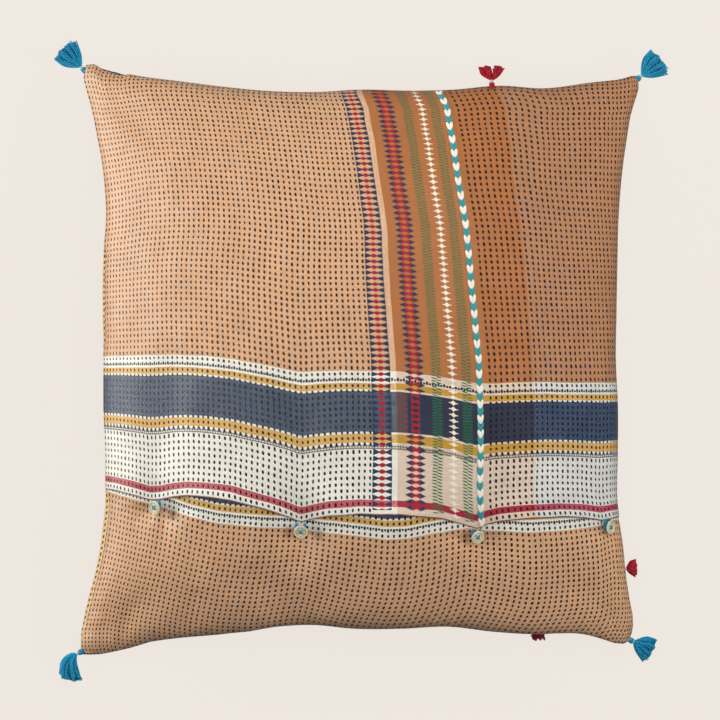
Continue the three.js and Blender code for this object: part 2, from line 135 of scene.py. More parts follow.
def mesh_of(name: str, bm: bmesh.types.BMesh) -> bpy.types.Mesh:
    """Turns a bmesh into a mesh.

    Args:
        name: the mesh's name.
        bm: the shape. It is used up.

    Returns:
        The mesh.
    """
    mesh = bpy.data.meshes.new(name)
    bm.to_mesh(mesh)
    bm.free()
    return mesh


def finished_mesh(holder: bpy.types.Object) -> bpy.types.Mesh:
    """Bakes an object's curve or modifiers into a new mesh.

    Args:
        holder: the object.

    Returns:
        The mesh.
    """
    bpy.context.view_layer.update()
    graph = bpy.context.evaluated_depsgraph_get()
    return bpy.data.meshes.new_from_object(holder.evaluated_get(graph))


@dataclass(frozen=True)
class Fold:
    """A soft fold: deepest at its start, gone at its end. Sizes in mm."""

    start: tuple[float, float]
    end: tuple[float, float]
    width: float
    depth: float

    def at(self, x: np.ndarray, y: np.ndarray) -> np.ndarray:
        """Depth of this fold.

        Args:
            x: places across the pillow.
            y: places up the pillow.

        Returns:
            The depth at each place.
        """
        run = np.subtract(self.end, self.start)
        reach = float(run @ run)
        away_x = x - self.start[0]
        away_y = y - self.start[1]
        share = np.clip((away_x * run[0] + away_y * run[1]) / reach, 0, 1) if reach else 0 * x
        distance = np.hypot(away_x - share * run[0], away_y - share * run[1])
        return self.depth * (1 - share**2) * np.exp(-((distance / self.width) ** 2))


@dataclass(frozen=True)
class PillowForm:
    """The filled cover: a plan drawn in along its four sides, its crown and its folds, in mm."""

    lower_left: tuple[float, float] = (-244.6, -257.8)
    lower_right: tuple[float, float] = (239.4, -247.3)
    upper_left: tuple[float, float] = (-239.4, 257.0)
    upper_right: tuple[float, float] = (243.8, 248.2)
    left: tuple[float, ...] = (0, 3.8, 13, 18.2, 18.5, 16.5, 15.9, 14.2, 14.1, 16.9, 13.3, 5.2, 0)
    right: tuple[float, ...] = (0, 4.4, 8.3, 14.6, 14.7, 15, 17.2, 17, 16.6, 15.9, 12.9, 7.2, 0)
    top: tuple[float, ...] = (0, 6.1, 10.8, 15.1, 18.2, 18.2, 15.4, 15.6, 13.9, 9.7, 11.1, 5.2, 0)
    bottom: tuple[float, ...] = (0, 3.9, 10.7, 14, 18.5, 20.2, 15.8, 15, 15.8, 10.3, 7.1, 8.8, 0)
    out_left: Rows = (
        (-258, 1.5), (-252, 4), (-246, 4.4), (-238, 4.2), (-225, 2.2), (-211, 0.8), (-195, 0),
        (211, -0.4), (222, 0.7), (229, 1.8), (237.6, 3.5), (243, 4.6), (248, 5), (252, 4.2),
        (257, 2),
    )
    out_right: Rows = (
        (-255, -3), (-246, -1.5), (-240, 1), (-233, 2.8), (-224, 3.2), (-211, 1.8), (-195, 0.6),
        (-180, 0),
        (215, 0), (229, 1.8), (237.6, 3.3), (243, 2.2), (250, 0.8),
    )
    out_top: Rows = (
        (-244, 1.8), (-239.4, 2.8), (-234, 4.4), (-228.8, 4.4), (-223.5, 3.5), (-218, 2.6),
        (-213, 2.2), (-207.7, 0.9), (-194, 0), (225, 0), (233, 1), (238, 2.4), (244, 2),
    )
    out_bottom: Rows = (
        (-245, 1.8), (-239, 2.6), (-229, 3.2), (-220, 2.6), (-202, 0.9), (-185, -1), (-165, 0),
        (-115, 0.6), (-97, 1.5), (-75, 0), (150, -0.4), (170, -0.4), (190, 1.5), (211, 4.2),
        (224, 5.8), (233, 4.4), (240, -0.5),
    )
    out_power: float = 14
    seam_height: float = 66
    corner_drop: float = 30
    crown_above_seam: float = 78
    front_below_seam: float = 84
    squareness: float = 2.2
    fullness_power: float = 0.55
    fold_onset: float = 1.6
    hem: Rows = (
        (-226, -112), (-214, -113.2), (-198, -117.2), (-184, -121.6), (-175, -121.4),
        (-162, -118.6), (-150, -117.2), (-137, -118), (-124, -119.2), (-112, -121),
        (-99, -124.4), (-80, -130), (-66, -135), (-52, -140.4), (-40, -137.4), (-26, -134.6),
        (0, -132.4), (35, -133.5), (70, -136.4), (103, -146.5), (112, -142.5), (123, -139.8),
        (150, -137), (176, -135.8), (195, -137), (211, -139.5), (226, -137),
    )
    border_top: Rows = (
        (-224, 3.4), (-185, 4.4), (-164, 5.1), (-138, 3.9), (-112, 0.9), (-97, -1.9), (-79, -5),
        (-60, -9.2), (-51.5, -10.6), (-17, -9.2), (34, -9.9), (69, -14.4), (103, -20.4),
        (120, -20.4), (138, -19.8), (150, -19.3), (163, -19.3), (176, -20), (223, -20),
    )
    under_border: Rows = (
        (-223, -115.3), (-198.6, -122.4), (-169.6, -130.2), (-147.5, -138), (-126, -143),
        (-108, -145), (-86, -146.8), (-58.6, -148), (-38.8, -150.4), (-1, -154.3), (22.4, -157.5),
        (42.2, -156.5), (62, -152.6), (81.8, -149.2), (94, -147.5), (111, -149.8), (131, -150.2),
        (150.6, -151.5), (170.5, -150.2), (191, -148.4), (210.5, -145.8), (223, -140.5),
    )
    folds: tuple[Fold, ...] = (
        Fold((-178.6, -129.8), (-178.6, -129.8), 20, 5),
        Fold((-51.9, -149.3), (-51.9, -149.3), 22, 6),
        Fold((102.4, -154.0), (102.4, -154.0), 22, 6),
        Fold((-178, -112), (-163, 20), 17, 4.5),
        Fold((-52, -132), (-58, 30), 19, 6),
        Fold((104, -138), (112, 10), 18, 4.5),
        Fold((-50, -160), (-66, -205), 12, 3),
        Fold((103, -166), (96, -212), 12, 3),
        Fold((-228, -240), (-160, -198), 14, 6.5),
        Fold((222, -226), (160, -180), 14, 6),
        Fold((-208, -244), (-194, -196), 7, 4),
        Fold((-170, -136), (-178, -184), 8, 3),
        Fold((-152, -232), (-146, -200), 9, 3),
        Fold((224, -238), (198, -194), 8, 3.5),
        Fold((-60, -228), (-96, -178), 17, 8),
        Fold((84, -228), (96, -186), 16, 5),
        Fold((182, -230), (168, -190), 13, 4),
        Fold((62, 228), (48, 170), 16, 4),
        Fold((138, 226), (132, 176), 16, 4),
        Fold((-218, 232), (-160, 176), 15, 5),
    )
    buttons: Rows = ((-178.6, -129.8), (-51.9, -149.3), (102.4, -154.0), (217.0, -146.7))
    crease_start: float = 6
    crease_width: float = 2.9
    creases: tuple[tuple[float, float, float], ...] = (
        (-3, 34, 3.7), (-26, 29, 3.0), (-55, 21, 1.8), (-125, 21, 1.8), (-153, 29, 3.0),
        (184, 34, 3.7),
    )
    drop_power: float = 3
    waves: tuple[tuple[float, float, float, float], ...] = (
        (61, 0.6, 0.34, 0.2), (47, 2.1, 0.26, 1.4), (38, 1.2, 0.22, 2.9),
        (29, 2.8, 0.16, 0.7), (23, 0.1, 0.12, 5.1), (19, 1.7, 0.09, 3.6),
    )
    half_side: float = 235
    gather_height: float = 0.75
    gather_length: float = 2.9
    gather_start: float = 2
    gather_fade: float = 14
    gather_onset: float = 3
    sway: float = 1.6
    sway_length: float = 11
    swell: tuple[float, float] = (0.55, 0.45)
    swell_length: float = 23
    feel: float = 0.004
    hem_search: tuple[float, float] = (-0.95, 0.6)
    halvings: int = 24
    first_guess: tuple[float, float] = (226, 240)
    next_guess: tuple[float, float] = (240, 250)
    guesses: int = 30

    def side(self, start: Sequence[float], end: Sequence[float], drawn: Sequence[float],
             inward: int) -> np.ndarray:
        """Points of one side of the plan.

        Args:
            start: the corner where the side starts.
            end: the corner where it ends.
            drawn: how far the side is drawn in at even steps along it.
            inward: 1 if the pillow lies to the left of the run, or -1.

        Returns:
            The side's points, one a row.
        """
        along = np.subtract(end, start)
        across = inward * np.array([-along[1], along[0]]) / np.hypot(*along)
        share = np.linspace(0, 1, len(drawn))[:, None]
        return np.array(start) + along * share + across * np.array(drawn)[:, None]

    def plan(self, across: np.ndarray, up: np.ndarray) -> np.ndarray:
        """Plan position blended from the four sides.

        Args:
            across: from -1 at the left seam to 1 at the right.
            up: from -1 at the bottom seam to 1 at the top.

        Returns:
            Plan positions with x and y in the last axis.
        """
        s = (across + 1) / 2
        t = (up + 1) / 2
        left = smooth_line(self.side(self.lower_left, self.upper_left, self.left, -1), t)
        right = smooth_line(self.side(self.lower_right, self.upper_right, self.right, 1), t)
        top = smooth_line(self.side(self.upper_left, self.upper_right, self.top, -1), s)
        bottom = smooth_line(self.side(self.lower_left, self.lower_right, self.bottom, 1), s)
        s = s[..., None]
        t = t[..., None]
        low = np.array(self.lower_left) * (1 - s) + np.array(self.lower_right) * s
        high = np.array(self.upper_left) * (1 - s) + np.array(self.upper_right) * s
        corners = low * (1 - t) + high * t
        place = bottom * (1 - t) + top * t + left * (1 - s) + right * s - corners
        return self.fill_corners(place, across, up)

    def fill_corners(self, place: np.ndarray, across: np.ndarray, up: np.ndarray) -> np.ndarray:
        """Moves the edges out where the corners stand fuller than the four sides give.

        Args:
            place: plan positions.
            across: their across values.
            up: their up values.

        Returns:
            The moved plan positions.
        """
        moved = place.copy()
        x, y = place[..., 0], place[..., 1]
        near_left, near_right = np.maximum(0, -across), np.maximum(0, across)
        near_bottom, near_top = np.maximum(0, -up), np.maximum(0, up)
        moved[..., 0] -= read_rows(self.out_left, y) * near_left**self.out_power
        moved[..., 0] += read_rows(self.out_right, y) * near_right**self.out_power
        moved[..., 1] -= read_rows(self.out_bottom, x) * near_bottom**self.out_power
        moved[..., 1] += read_rows(self.out_top, x) * near_top**self.out_power
        return moved

    def fullness(self, across: np.ndarray, up: np.ndarray) -> np.ndarray:
        """How full the filling is, from 0 at a seam to 1 in the middle."""
        side, end = (1 - np.minimum(1, np.abs(way)) ** self.squareness for way in (across, up))
        return (side * end) ** self.fullness_power

    def seam(self, across: np.ndarray, up: np.ndarray) -> np.ndarray:
        """Height of the seam, which drops towards the corners."""
        return self.seam_height - self.corner_drop * np.abs(across * up) ** self.drop_power

    def relief(self, x: np.ndarray, y: np.ndarray) -> np.ndarray:
        """Slight unevenness of the filling, from a few crossing waves.

        Args:
            x: places across the pillow.
            y: places up the pillow.

        Returns:
            Height at each place, within about a millimetre of 0.
        """
        total = 0 * x
        for length, turn, height, start in self.waves:
            run = x * math.cos(turn) + y * math.sin(turn)
            total = total + height * np.sin(2 * math.pi * run / length + start)
        return total

    def strain(self, x: np.ndarray, y: np.ndarray) -> np.ndarray:
        """Depth of the fine creases that run out from each button.

        Args:
            x: places across the pillow.
            y: places up the pillow.

        Returns:
            The depth at each place.
        """
        total = 0 * x
        for middle in self.buttons:
            for turn, reach, depth in self.creases:
                way = np.array([math.cos(math.radians(turn)), math.sin(math.radians(turn))])
                start = tuple(np.add(middle, way * self.crease_start))
                end = tuple(np.add(middle, way * reach))
                total = total + Fold(start, end, self.crease_width, depth).at(x, y)
        return total

    def puckers(self, across: np.ndarray, up: np.ndarray) -> np.ndarray:
        """Short gathers that run in from the seams.

        Args:
            across: from -1 to 1.
            up: from -1 to 1.

        Returns:
            Height at each place.
        """
        total = 0 * across
        for along, inward in ((up, across), (across, up)):
            run = along * self.half_side
            from_seam = (1 - np.abs(inward)) * self.half_side
            start = self.gather_start * np.sign(inward)
            sway = self.sway * np.sin(run / self.sway_length)
            wave = np.sin(run / self.gather_length + sway + start)
            swell = self.swell[0] + self.swell[1] * np.sin(run / self.swell_length + np.sign(inward))
            fade = np.exp(-from_seam / self.gather_fade)
            total = total + wave * swell * fade * np.minimum(1, from_seam / self.gather_onset)
        return self.gather_height * total

    def back(self, across: np.ndarray, up: np.ndarray) -> np.ndarray:
        """Points of the back skin, which faces up.

        Args:
            across: from -1 to 1.
            up: from -1 to 1.

        Returns:
            Points with x, y and z in the last axis.
        """
        plan = self.plan(across, up)
        x, y = plan[..., 0], plan[..., 1]
        full = self.fullness(across, up)
        onset = np.minimum(1, self.fold_onset * full)
        folds = sum(fold.at(x, y) for fold in self.folds) + self.strain(x, y)
        z = self.seam(across, up) + self.crown_above_seam * full - folds * onset
        z = z + self.relief(x, y) * onset + self.puckers(across, up)
        return np.stack([x, y, z], axis=-1)

    def front(self, across: np.ndarray, up: np.ndarray) -> np.ndarray:
        """Points of the front skin, which faces down and rests on the floor.

        Args:
            across: from -1 to 1.
            up: from -1 to 1.

        Returns:
            Points with x, y and z in the last axis.
        """
        plan = self.plan(across, up)
        z = self.seam(across, up) - self.front_below_seam * self.fullness(across, up)
        z = z - self.puckers(across, up)
        return np.stack([plan[..., 0], plan[..., 1], np.maximum(0, z)], axis=-1)

    def normal(self, across: np.ndarray, up: np.ndarray) -> np.ndarray:
        """Outward directions of the back skin, felt out by short steps along it.

        Args:
            across: from -1 to 1.
            up: from -1 to 1.

        Returns:
            Unit vectors in the last axis.
        """
        step = self.feel
        right = self.back(np.minimum(1, across + step), up)
        left = self.back(np.maximum(-1, across - step), up)
        above = self.back(across, np.minimum(1, up + step))
        below = self.back(across, np.maximum(-1, up - step))
        cross = np.cross(right - left, above - below)
        return cross / np.linalg.norm(cross, axis=-1, keepdims=True)

    def crossing(self, across: np.ndarray, line: Rows) -> np.ndarray:
        """Where each column meets a line drawn across the pillow.

        Args:
            across: the columns, from -1 to 1.
            line: the line as (x, y) rows.

        Returns:
            The up value at which each column crosses the line.
        """
        low = np.full_like(across, self.hem_search[0])
        high = np.full_like(across, self.hem_search[1])
        for _ in range(self.halvings):
            middle = (low + high) / 2
            plan = self.plan(across, middle)
            under = plan[..., 1] < read_rows(line, plan[..., 0])
            low = np.where(under, middle, low)
            high = np.where(under, high, middle)
        return (low + high) / 2

    def find(self, x: float, y: float) -> tuple[np.ndarray, np.ndarray]:
        """Across and up values of a plan position, found by walking towards it.

        Args:
            x: place across the pillow.
            y: place up the pillow.

        Returns:
            The across and up values, as arrays of one.
        """
        across = np.array([x / self.first_guess[0]])
        up = np.array([y / self.first_guess[1]])
        for _ in range(self.guesses):
            plan = self.plan(across, up)
            across = across + (x - plan[..., 0]) / self.next_guess[0]
            up = up + (y - plan[..., 1]) / self.next_guess[1]
        return across, up


FORM = PillowForm()


@dataclass(frozen=True)
class PhotoView:
    """The photograph's view: straight down on the back, with no lens shift."""

    frame_width: float = 633.6
    distance: float = 15000
    sensor: float = 36
    sight: float = 20

    def seen(self, points: np.ndarray) -> np.ndarray:
        """Plan positions as the camera sees them, at the seam's level."""
        grow = 1 + (points[..., 2:] - FORM.seam_height) / self.distance
        return points[..., :2] * grow

    def camera(self) -> bpy.types.Object:
        """Makes the camera and gives it to the scene.

        Returns:
            The camera object.
        """
        data = bpy.data.cameras.new("photo_camera")
        data.sensor_width = self.sensor
        data.lens = self.sensor * self.distance / self.frame_width
        data.clip_end = self.sight
        camera = put("photo_camera", data)
        camera.location = (0, 0, (FORM.seam_height + self.distance) * MM)
        bpy.context.scene.camera = camera
        return camera


VIEW = PhotoView()


@dataclass(frozen=True)
class ClothMap:
    """Cloth coordinates in mm: u across the warp from the left seam, v along it from the hem.

    The rows give where the warp and weft lines lie, as seen from the camera.
    """

    warp: Rows = (
        (0, 0), (0.031, 24.6), (0.064, 47.7), (0.103, 72.8), (0.133, 89.1), (0.201, 123.5),
        (0.298, 169.7), (0.386, 209), (0.524, 270.6), (0.634, 318.8), (0.743, 367), (0.838, 408.3),
        (0.912, 445.2), (0.955, 468.4), (0.986, 490), (1, 508),
    )
    drift: Rows = (
        (0, 0), (0.1, 2), (0.24, 6.5), (0.4, 16), (0.55, 31), (0.735, 43), (0.86, 40), (0.95, 40),
        (1, 38),
    )
    drift_rise: Rows = (
        (0, 0), (44, 0.1), (83, 0.2), (119, 0.32), (153, 0.49), (189, 0.63), (220, 0.8), (235, 1),
    )
    low_drift: Rows = (
        (0, -3), (0.1, -1.5), (0.24, 3.5), (0.36, 7), (0.5, 16), (0.65, 19), (0.8, 22), (1, 18),
    )
    cloth_per_plan: float = 0.975
    bow: Rows = (
        (-227, 21), (-207, 15), (-187, 9), (-167, 5.7), (-145, 3.5), (-123, 1.8), (-97, 0),
        (-53, 0), (-13, 4.4), (123, 6), (145, 6.2), (185, 13), (227, 17.6),
    )
    bow_rise: Rows = ((0, 0), (44, 0.25), (88, 0.65), (132, 1), (176, 1), (250, 0.9))
    pulls: Rows = ((-92, 0), (-52, 7), (-12, 0), (62, 0), (102, 6), (142, 0))
    pull_reach: float = 45
    seam_stretch: float = 0.6
    seam_reach: float = 31
    flat_stretch: float = 1.03
    low_start: float = -176
    low_reach: float = 70
    low_limit: float = 1.2
    rounds: int = 8
    border: float = 125
    rows_above: Rows = ((0, 0), (0.2, 0.176), (0.56, 0.51), (0.743, 0.686), (0.85, 0.804), (1, 1))
    above: float = 268

    def warp_place(self, points: np.ndarray, across: np.ndarray, up: np.ndarray) -> np.ndarray:
        """Cloth place across the warp, for points of the back.

        Args:
            points: the points in mm.
            across: their across values.
            up: their up values.

        Returns:
            The place from the left seam, in mm of cloth.
        """
        left = FORM.plan(-np.ones_like(across), up)[..., 0]
        right = FORM.plan(np.ones_like(across), up)[..., 0]
        share = (VIEW.seen(points)[..., 0] - left) / (right - left)
        y = points[..., 1]
        rise = read_rows(self.drift_rise, y)
        fall = np.clip((self.low_start - y) / self.low_reach, 0, self.low_limit) ** 2
        found = share
        for _ in range(self.rounds):
            moved = read_rows(self.drift, found) * rise + read_rows(self.low_drift, found) * fall
            found = share + moved / (right - left)
        drifted = (found - share) * (right - left)
        return read_rows(self.warp, np.clip(share, 0, 1)) + drifted * self.cloth_per_plan

    def upper_place(self, points: np.ndarray, height: np.ndarray) -> np.ndarray:
        """Cloth place along the warp of the upper panel, whose wefts bow down at the sides."""
        bow = read_rows(self.bow, points[..., 0]) * read_rows(self.bow_rise, points[..., 1])
        return height + bow

    def seam_place(self, points: np.ndarray, across: np.ndarray, up: np.ndarray) -> np.ndarray:
        """Cloth place along the warp where the upper panel is caught in the seam of the body.

        Args:
            points: the points in mm.
            across: their across values.
            up: their up values.

        Returns:
            The place above the hem, in mm of cloth.
        """
        columns = across[0]
        hem = FORM.crossing(columns, FORM.hem)
        edge = FORM.crossing(columns, FORM.border_top)
        low = np.clip((up - hem) / (edge - hem), 0, 1) * self.border
        shares, counts = zip(*self.rows_above)
        high = np.interp((up - edge) / (1 - edge), shares, counts) * self.above
        return self.upper_place(points, low + high)

    def run(self, distance: np.ndarray) -> np.ndarray:
        """Cloth between the bottom seam and a place above it, where it curves to the seam."""
        curved = self.seam_stretch * self.seam_reach * (1 - np.exp(-distance / self.seam_reach))
        return self.flat_stretch * distance + curved

    def lower_place(self, points: np.ndarray, across: np.ndarray) -> np.ndarray:
        """Cloth place along the warp of the lower panel, larger downwards.

        Args:
            points: the points in mm.
            across: their across values.

        Returns:
            The place, with the border's edge at the border's width.
        """
        x, y = points[..., 0], points[..., 1]
        edge = read_rows(FORM.under_border, x)
        low = FORM.plan(across, -np.ones_like(across))[..., 1]
        under = self.run(edge - low) - self.run(np.clip(y - low, 0, edge - low))
        pulled = read_rows(self.pulls, x) * np.clip((edge - y) / self.pull_reach, 0, 1)
        return self.border + under + pulled - np.maximum(0, y - edge)


@dataclass(frozen=True)
class Band:
    """A stripe of one yarn between two cloth places, in mm."""

    low: float
    high: float
    code: int


class Graph:
    """A procedural material under construction, with short calls for its nodes."""

    def __init__(self, name: str) -> None:
        """Starts a material with its Principled shader.

        Args:
            name: the material's name.
        """
        self.material = bpy.data.materials.new(name)
        self.material.use_nodes = True
        self.tree = self.material.node_tree
        self.shader = self.tree.nodes["Principled BSDF"]

    def feed(self, socket: Socket, value: Union[Value, Sequence[float]]) -> None:
        """Links a socket to another, or sets its own value.

        Args:
            socket: the input socket.
            value: what it gets.
        """
        if isinstance(value, bpy.types.NodeSocket):
            self.tree.links.new(value, socket)
        else:
            socket.default_value = value

    def node(self, kind: str) -> bpy.types.Node:
        """Adds a node."""
        return self.tree.nodes.new(kind)

    def math(self, operation: str, first: Value, second: Value = 0.0, third: Value = 0.0) -> Socket:
        """Adds one sum.

        Args:
            operation: the Math node's operation.
            first: its first input.
            second: its second input.
            third: its third input, where the operation has one.

        Returns:
            The result's socket.
        """
        node = self.node("ShaderNodeMath")
        node.operation = operation
        for socket, value in zip(node.inputs, (first, second, third)):
            self.feed(socket, value)
        return node.outputs[0]

    def mix(self, share: Value, first: Union[Socket, Sequence[float]],
            second: Union[Socket, Sequence[float]]) -> Socket:
        """Mixes two colours.

        Args:
            share: how much of the second colour.
            first: the first colour.
            second: the second colour.

        Returns:
            The mixed colour's socket.
        """
        node = self.node("ShaderNodeMix")
        node.data_type = "RGBA"
        self.feed(node.inputs[0], share)
        self.feed(node.inputs[6], first)
        self.feed(node.inputs[7], second)
        return node.outputs[2]

    def shade(self, colour: Socket, factor: Value) -> Socket:
        """Makes a colour lighter or darker.

        Args:
            colour: the colour.
            factor: what its light is multiplied by.

        Returns:
            The new colour's socket.
        """
        node = self.node("ShaderNodeVectorMath")
        node.operation = "SCALE"
        self.feed(node.inputs[0], colour)
        self.feed(node.inputs[3], factor)
        return node.outputs[0]

    def point(self, x: Value, y: Value, z: Value = 0.0) -> Socket:
        """Joins three numbers into a point.

        Args:
            x: its first number.
            y: its second number.
            z: its third number.

        Returns:
            The point's socket.
        """
        node = self.node("ShaderNodeCombineXYZ")
        for socket, value in zip(node.inputs, (x, y, z)):
            self.feed(socket, value)
        return node.outputs[0]

    def noise(self, place: Socket, scale: float, detail: float = 2.0) -> Socket:
        """Adds soft noise.

        Args:
            place: the point that it is read at.
            scale: how many lumps there are to each unit.
            detail: how many finer layers it has.

        Returns:
            A socket from 0 to 1, about 0.5 on average.
        """
        node = self.node("ShaderNodeTexNoise")
        self.feed(node.inputs["Vector"], place)
        node.inputs["Scale"].default_value = scale
        node.inputs["Detail"].default_value = detail
        return node.outputs[0]

    def chance(self, place: Socket) -> Socket:
        """A steady random number for each whole place.

        Args:
            place: the point, whose cell decides the number.

        Returns:
            A socket from 0 to 1.
        """
        node = self.node("ShaderNodeTexWhiteNoise")
        node.noise_dimensions = "2D"
        self.feed(node.inputs["Vector"], place)
        return node.outputs[0]

    def spread(self, luck: Socket, amount: float, middle: float = 0.0) -> Socket:
        """Spreads a number from 0 to 1 evenly about a middle."""
        return self.math("MULTIPLY_ADD", luck, amount, middle - amount / 2)

    def turned_place(self) -> Socket:
        """Reads how far the point lies from the axis that the piece was turned on, in mm."""
        source = self.node("ShaderNodeAttribute")
        source.attribute_name = TURNED_MARK
        return source.outputs["Fac"]

    def object_place(self) -> Socket:
        """Reads the place on the object, in metres."""
        return self.node("ShaderNodeTexCoord").outputs["Object"]

    def within(self, place: Value, low: float, high: float) -> Socket:
        """Marks a stretch: a socket that is 1 between low and high, and 0 outside."""
        below = self.math("LESS_THAN", place, high)
        return self.math("MULTIPLY", self.math("GREATER_THAN", place, low), below)

    def ramp(self, place: Value, values: Sequence[float]) -> Socket:
        """Carries one stretch evenly over to another, and holds its ends.

        Args:
            place: the place.
            values: where the first stretch starts and ends, then the same of the second.

        Returns:
            The place on the second stretch.
        """
        node = self.node("ShaderNodeMapRange")
        node.clamp = True
        for socket, value in zip(node.inputs, (place, *values)):
            self.feed(socket, value)
        return node.outputs[0]

    def cell(self, place: Value, pitch: float, offset: Value = 0.0) -> tuple[Socket, Socket]:
        """Cuts a place into even cells.

        Args:
            place: the place.
            pitch: the cells' length.
            offset: where the first cell starts.

        Returns:
            The distance from the cell's middle, and the cell's number.
        """
        scaled = self.math("DIVIDE", self.math("SUBTRACT", place, offset), pitch)
        number = self.math("FLOOR", scaled)
        share = self.math("SUBTRACT", self.math("SUBTRACT", scaled, number), 0.5)
        return self.math("MULTIPLY", share, pitch), number

    def bumped(self, height: Socket) -> None:
        """Gives the shader its relief.

        Args:
            height: the relief's height in metres.
        """
        bump = self.node("ShaderNodeBump")
        bump.inputs["Strength"].default_value = 1.0
        bump.inputs["Distance"].default_value = 1.0
        self.feed(bump.inputs["Height"], height)
        self.feed(self.shader.inputs["Normal"], bump.outputs[0])

    def surface(self, colour: Socket, roughness: float, sheen: float = 0.0,
                specular: float = 0.3) -> bpy.types.Material:
        """Sets the shader and hands over the material.

        Args:
            colour: the surface colour.
            roughness: from 0, glossy, to 1, dull.
            sheen: how much light the fibres' fuzz throws back.
            specular: how strong the gloss is.

        Returns:
            The finished material.
        """
        self.feed(self.shader.inputs["Base Color"], colour)
        self.shader.inputs["Roughness"].default_value = roughness
        self.shader.inputs["Specular IOR Level"].default_value = specular
        self.shader.inputs["Sheen Weight"].default_value = sheen
        self.shader.inputs["Sheen Roughness"].default_value = FUZZ_ROUGHNESS
        return self.material


class ClothGraph(Graph):
    """A cloth's material. It holds its place across the warp, along it, and in rows of dots."""

    def __init__(self, name: str) -> None:
        """Starts the material from the weave's own map, in mm of cloth.

        Args:
            name: the material's name.
        """
        super().__init__(name)
        source = self.node("ShaderNodeUVMap")
        source.uv_map = WEAVE_MAP
        split = self.node("ShaderNodeSeparateXYZ")
        self.feed(split.inputs[0], source.outputs[0])
        self.u: Socket = split.outputs[0]
        self.v: Socket = split.outputs[1]
        self.rows: Socket = self.v

    def speckle(self, size: Sequence[float]) -> Socket:
        """A steady random number for each small patch of cloth, of a given width and height."""
        places = [self.math("DIVIDE", place, length) for place, length in zip((self.u, self.v), size)]
        return self.chance(self.point(*(self.math("FLOOR", place) for place in places)))

    def cloth_noise(self, scale: float, detail: float = 2.0) -> Socket:
        """Adds soft noise that lies on the cloth."""
        return self.noise(self.point(self.u, self.v), scale, detail)


class Panel(Enum):
    """The three pieces that are cut from the handloom cloth."""

    UPPER_BACK = "upper_back"
    LOWER_BACK = "lower_back"
    FRONT = "front"


class Yarn(Enum):
    """Colours of the handloom's yarns."""

    WHITE = 0xE9E6DA
    ORANGE = 0xCD8638
    RUST = 0x6A3048
    GREY = 0x959DAD
    SLATE = 0x2A6688
    MUSTARD = 0xD2A03C
    NAVY = 0x263A56
    INK = 0x151724
    CRIMSON = 0xB62840
    RED = 0xA61C2C
    GREEN = 0x24704C
    CREAM = 0xEFE6D4
    PLUM = 0x4E4048
    SALMON = 0xBC7628
    BROWN = 0x84523C
    DUSK = 0x3C2A16


@dataclass(frozen=True)
class Wedge:
    """Part of a woven figure, whose height changes evenly outwards. Sizes in mm."""

    yarn: Yarn
    inner: float
    outer: float
    inner_half: float
    outer_half: float


@dataclass(frozen=True)
class FigureColumn:
    """A column of one woven figure: its middle in mm, its start in rows, and its parts."""

    middle: float
    offset: float
    parts: tuple[Wedge, ...]


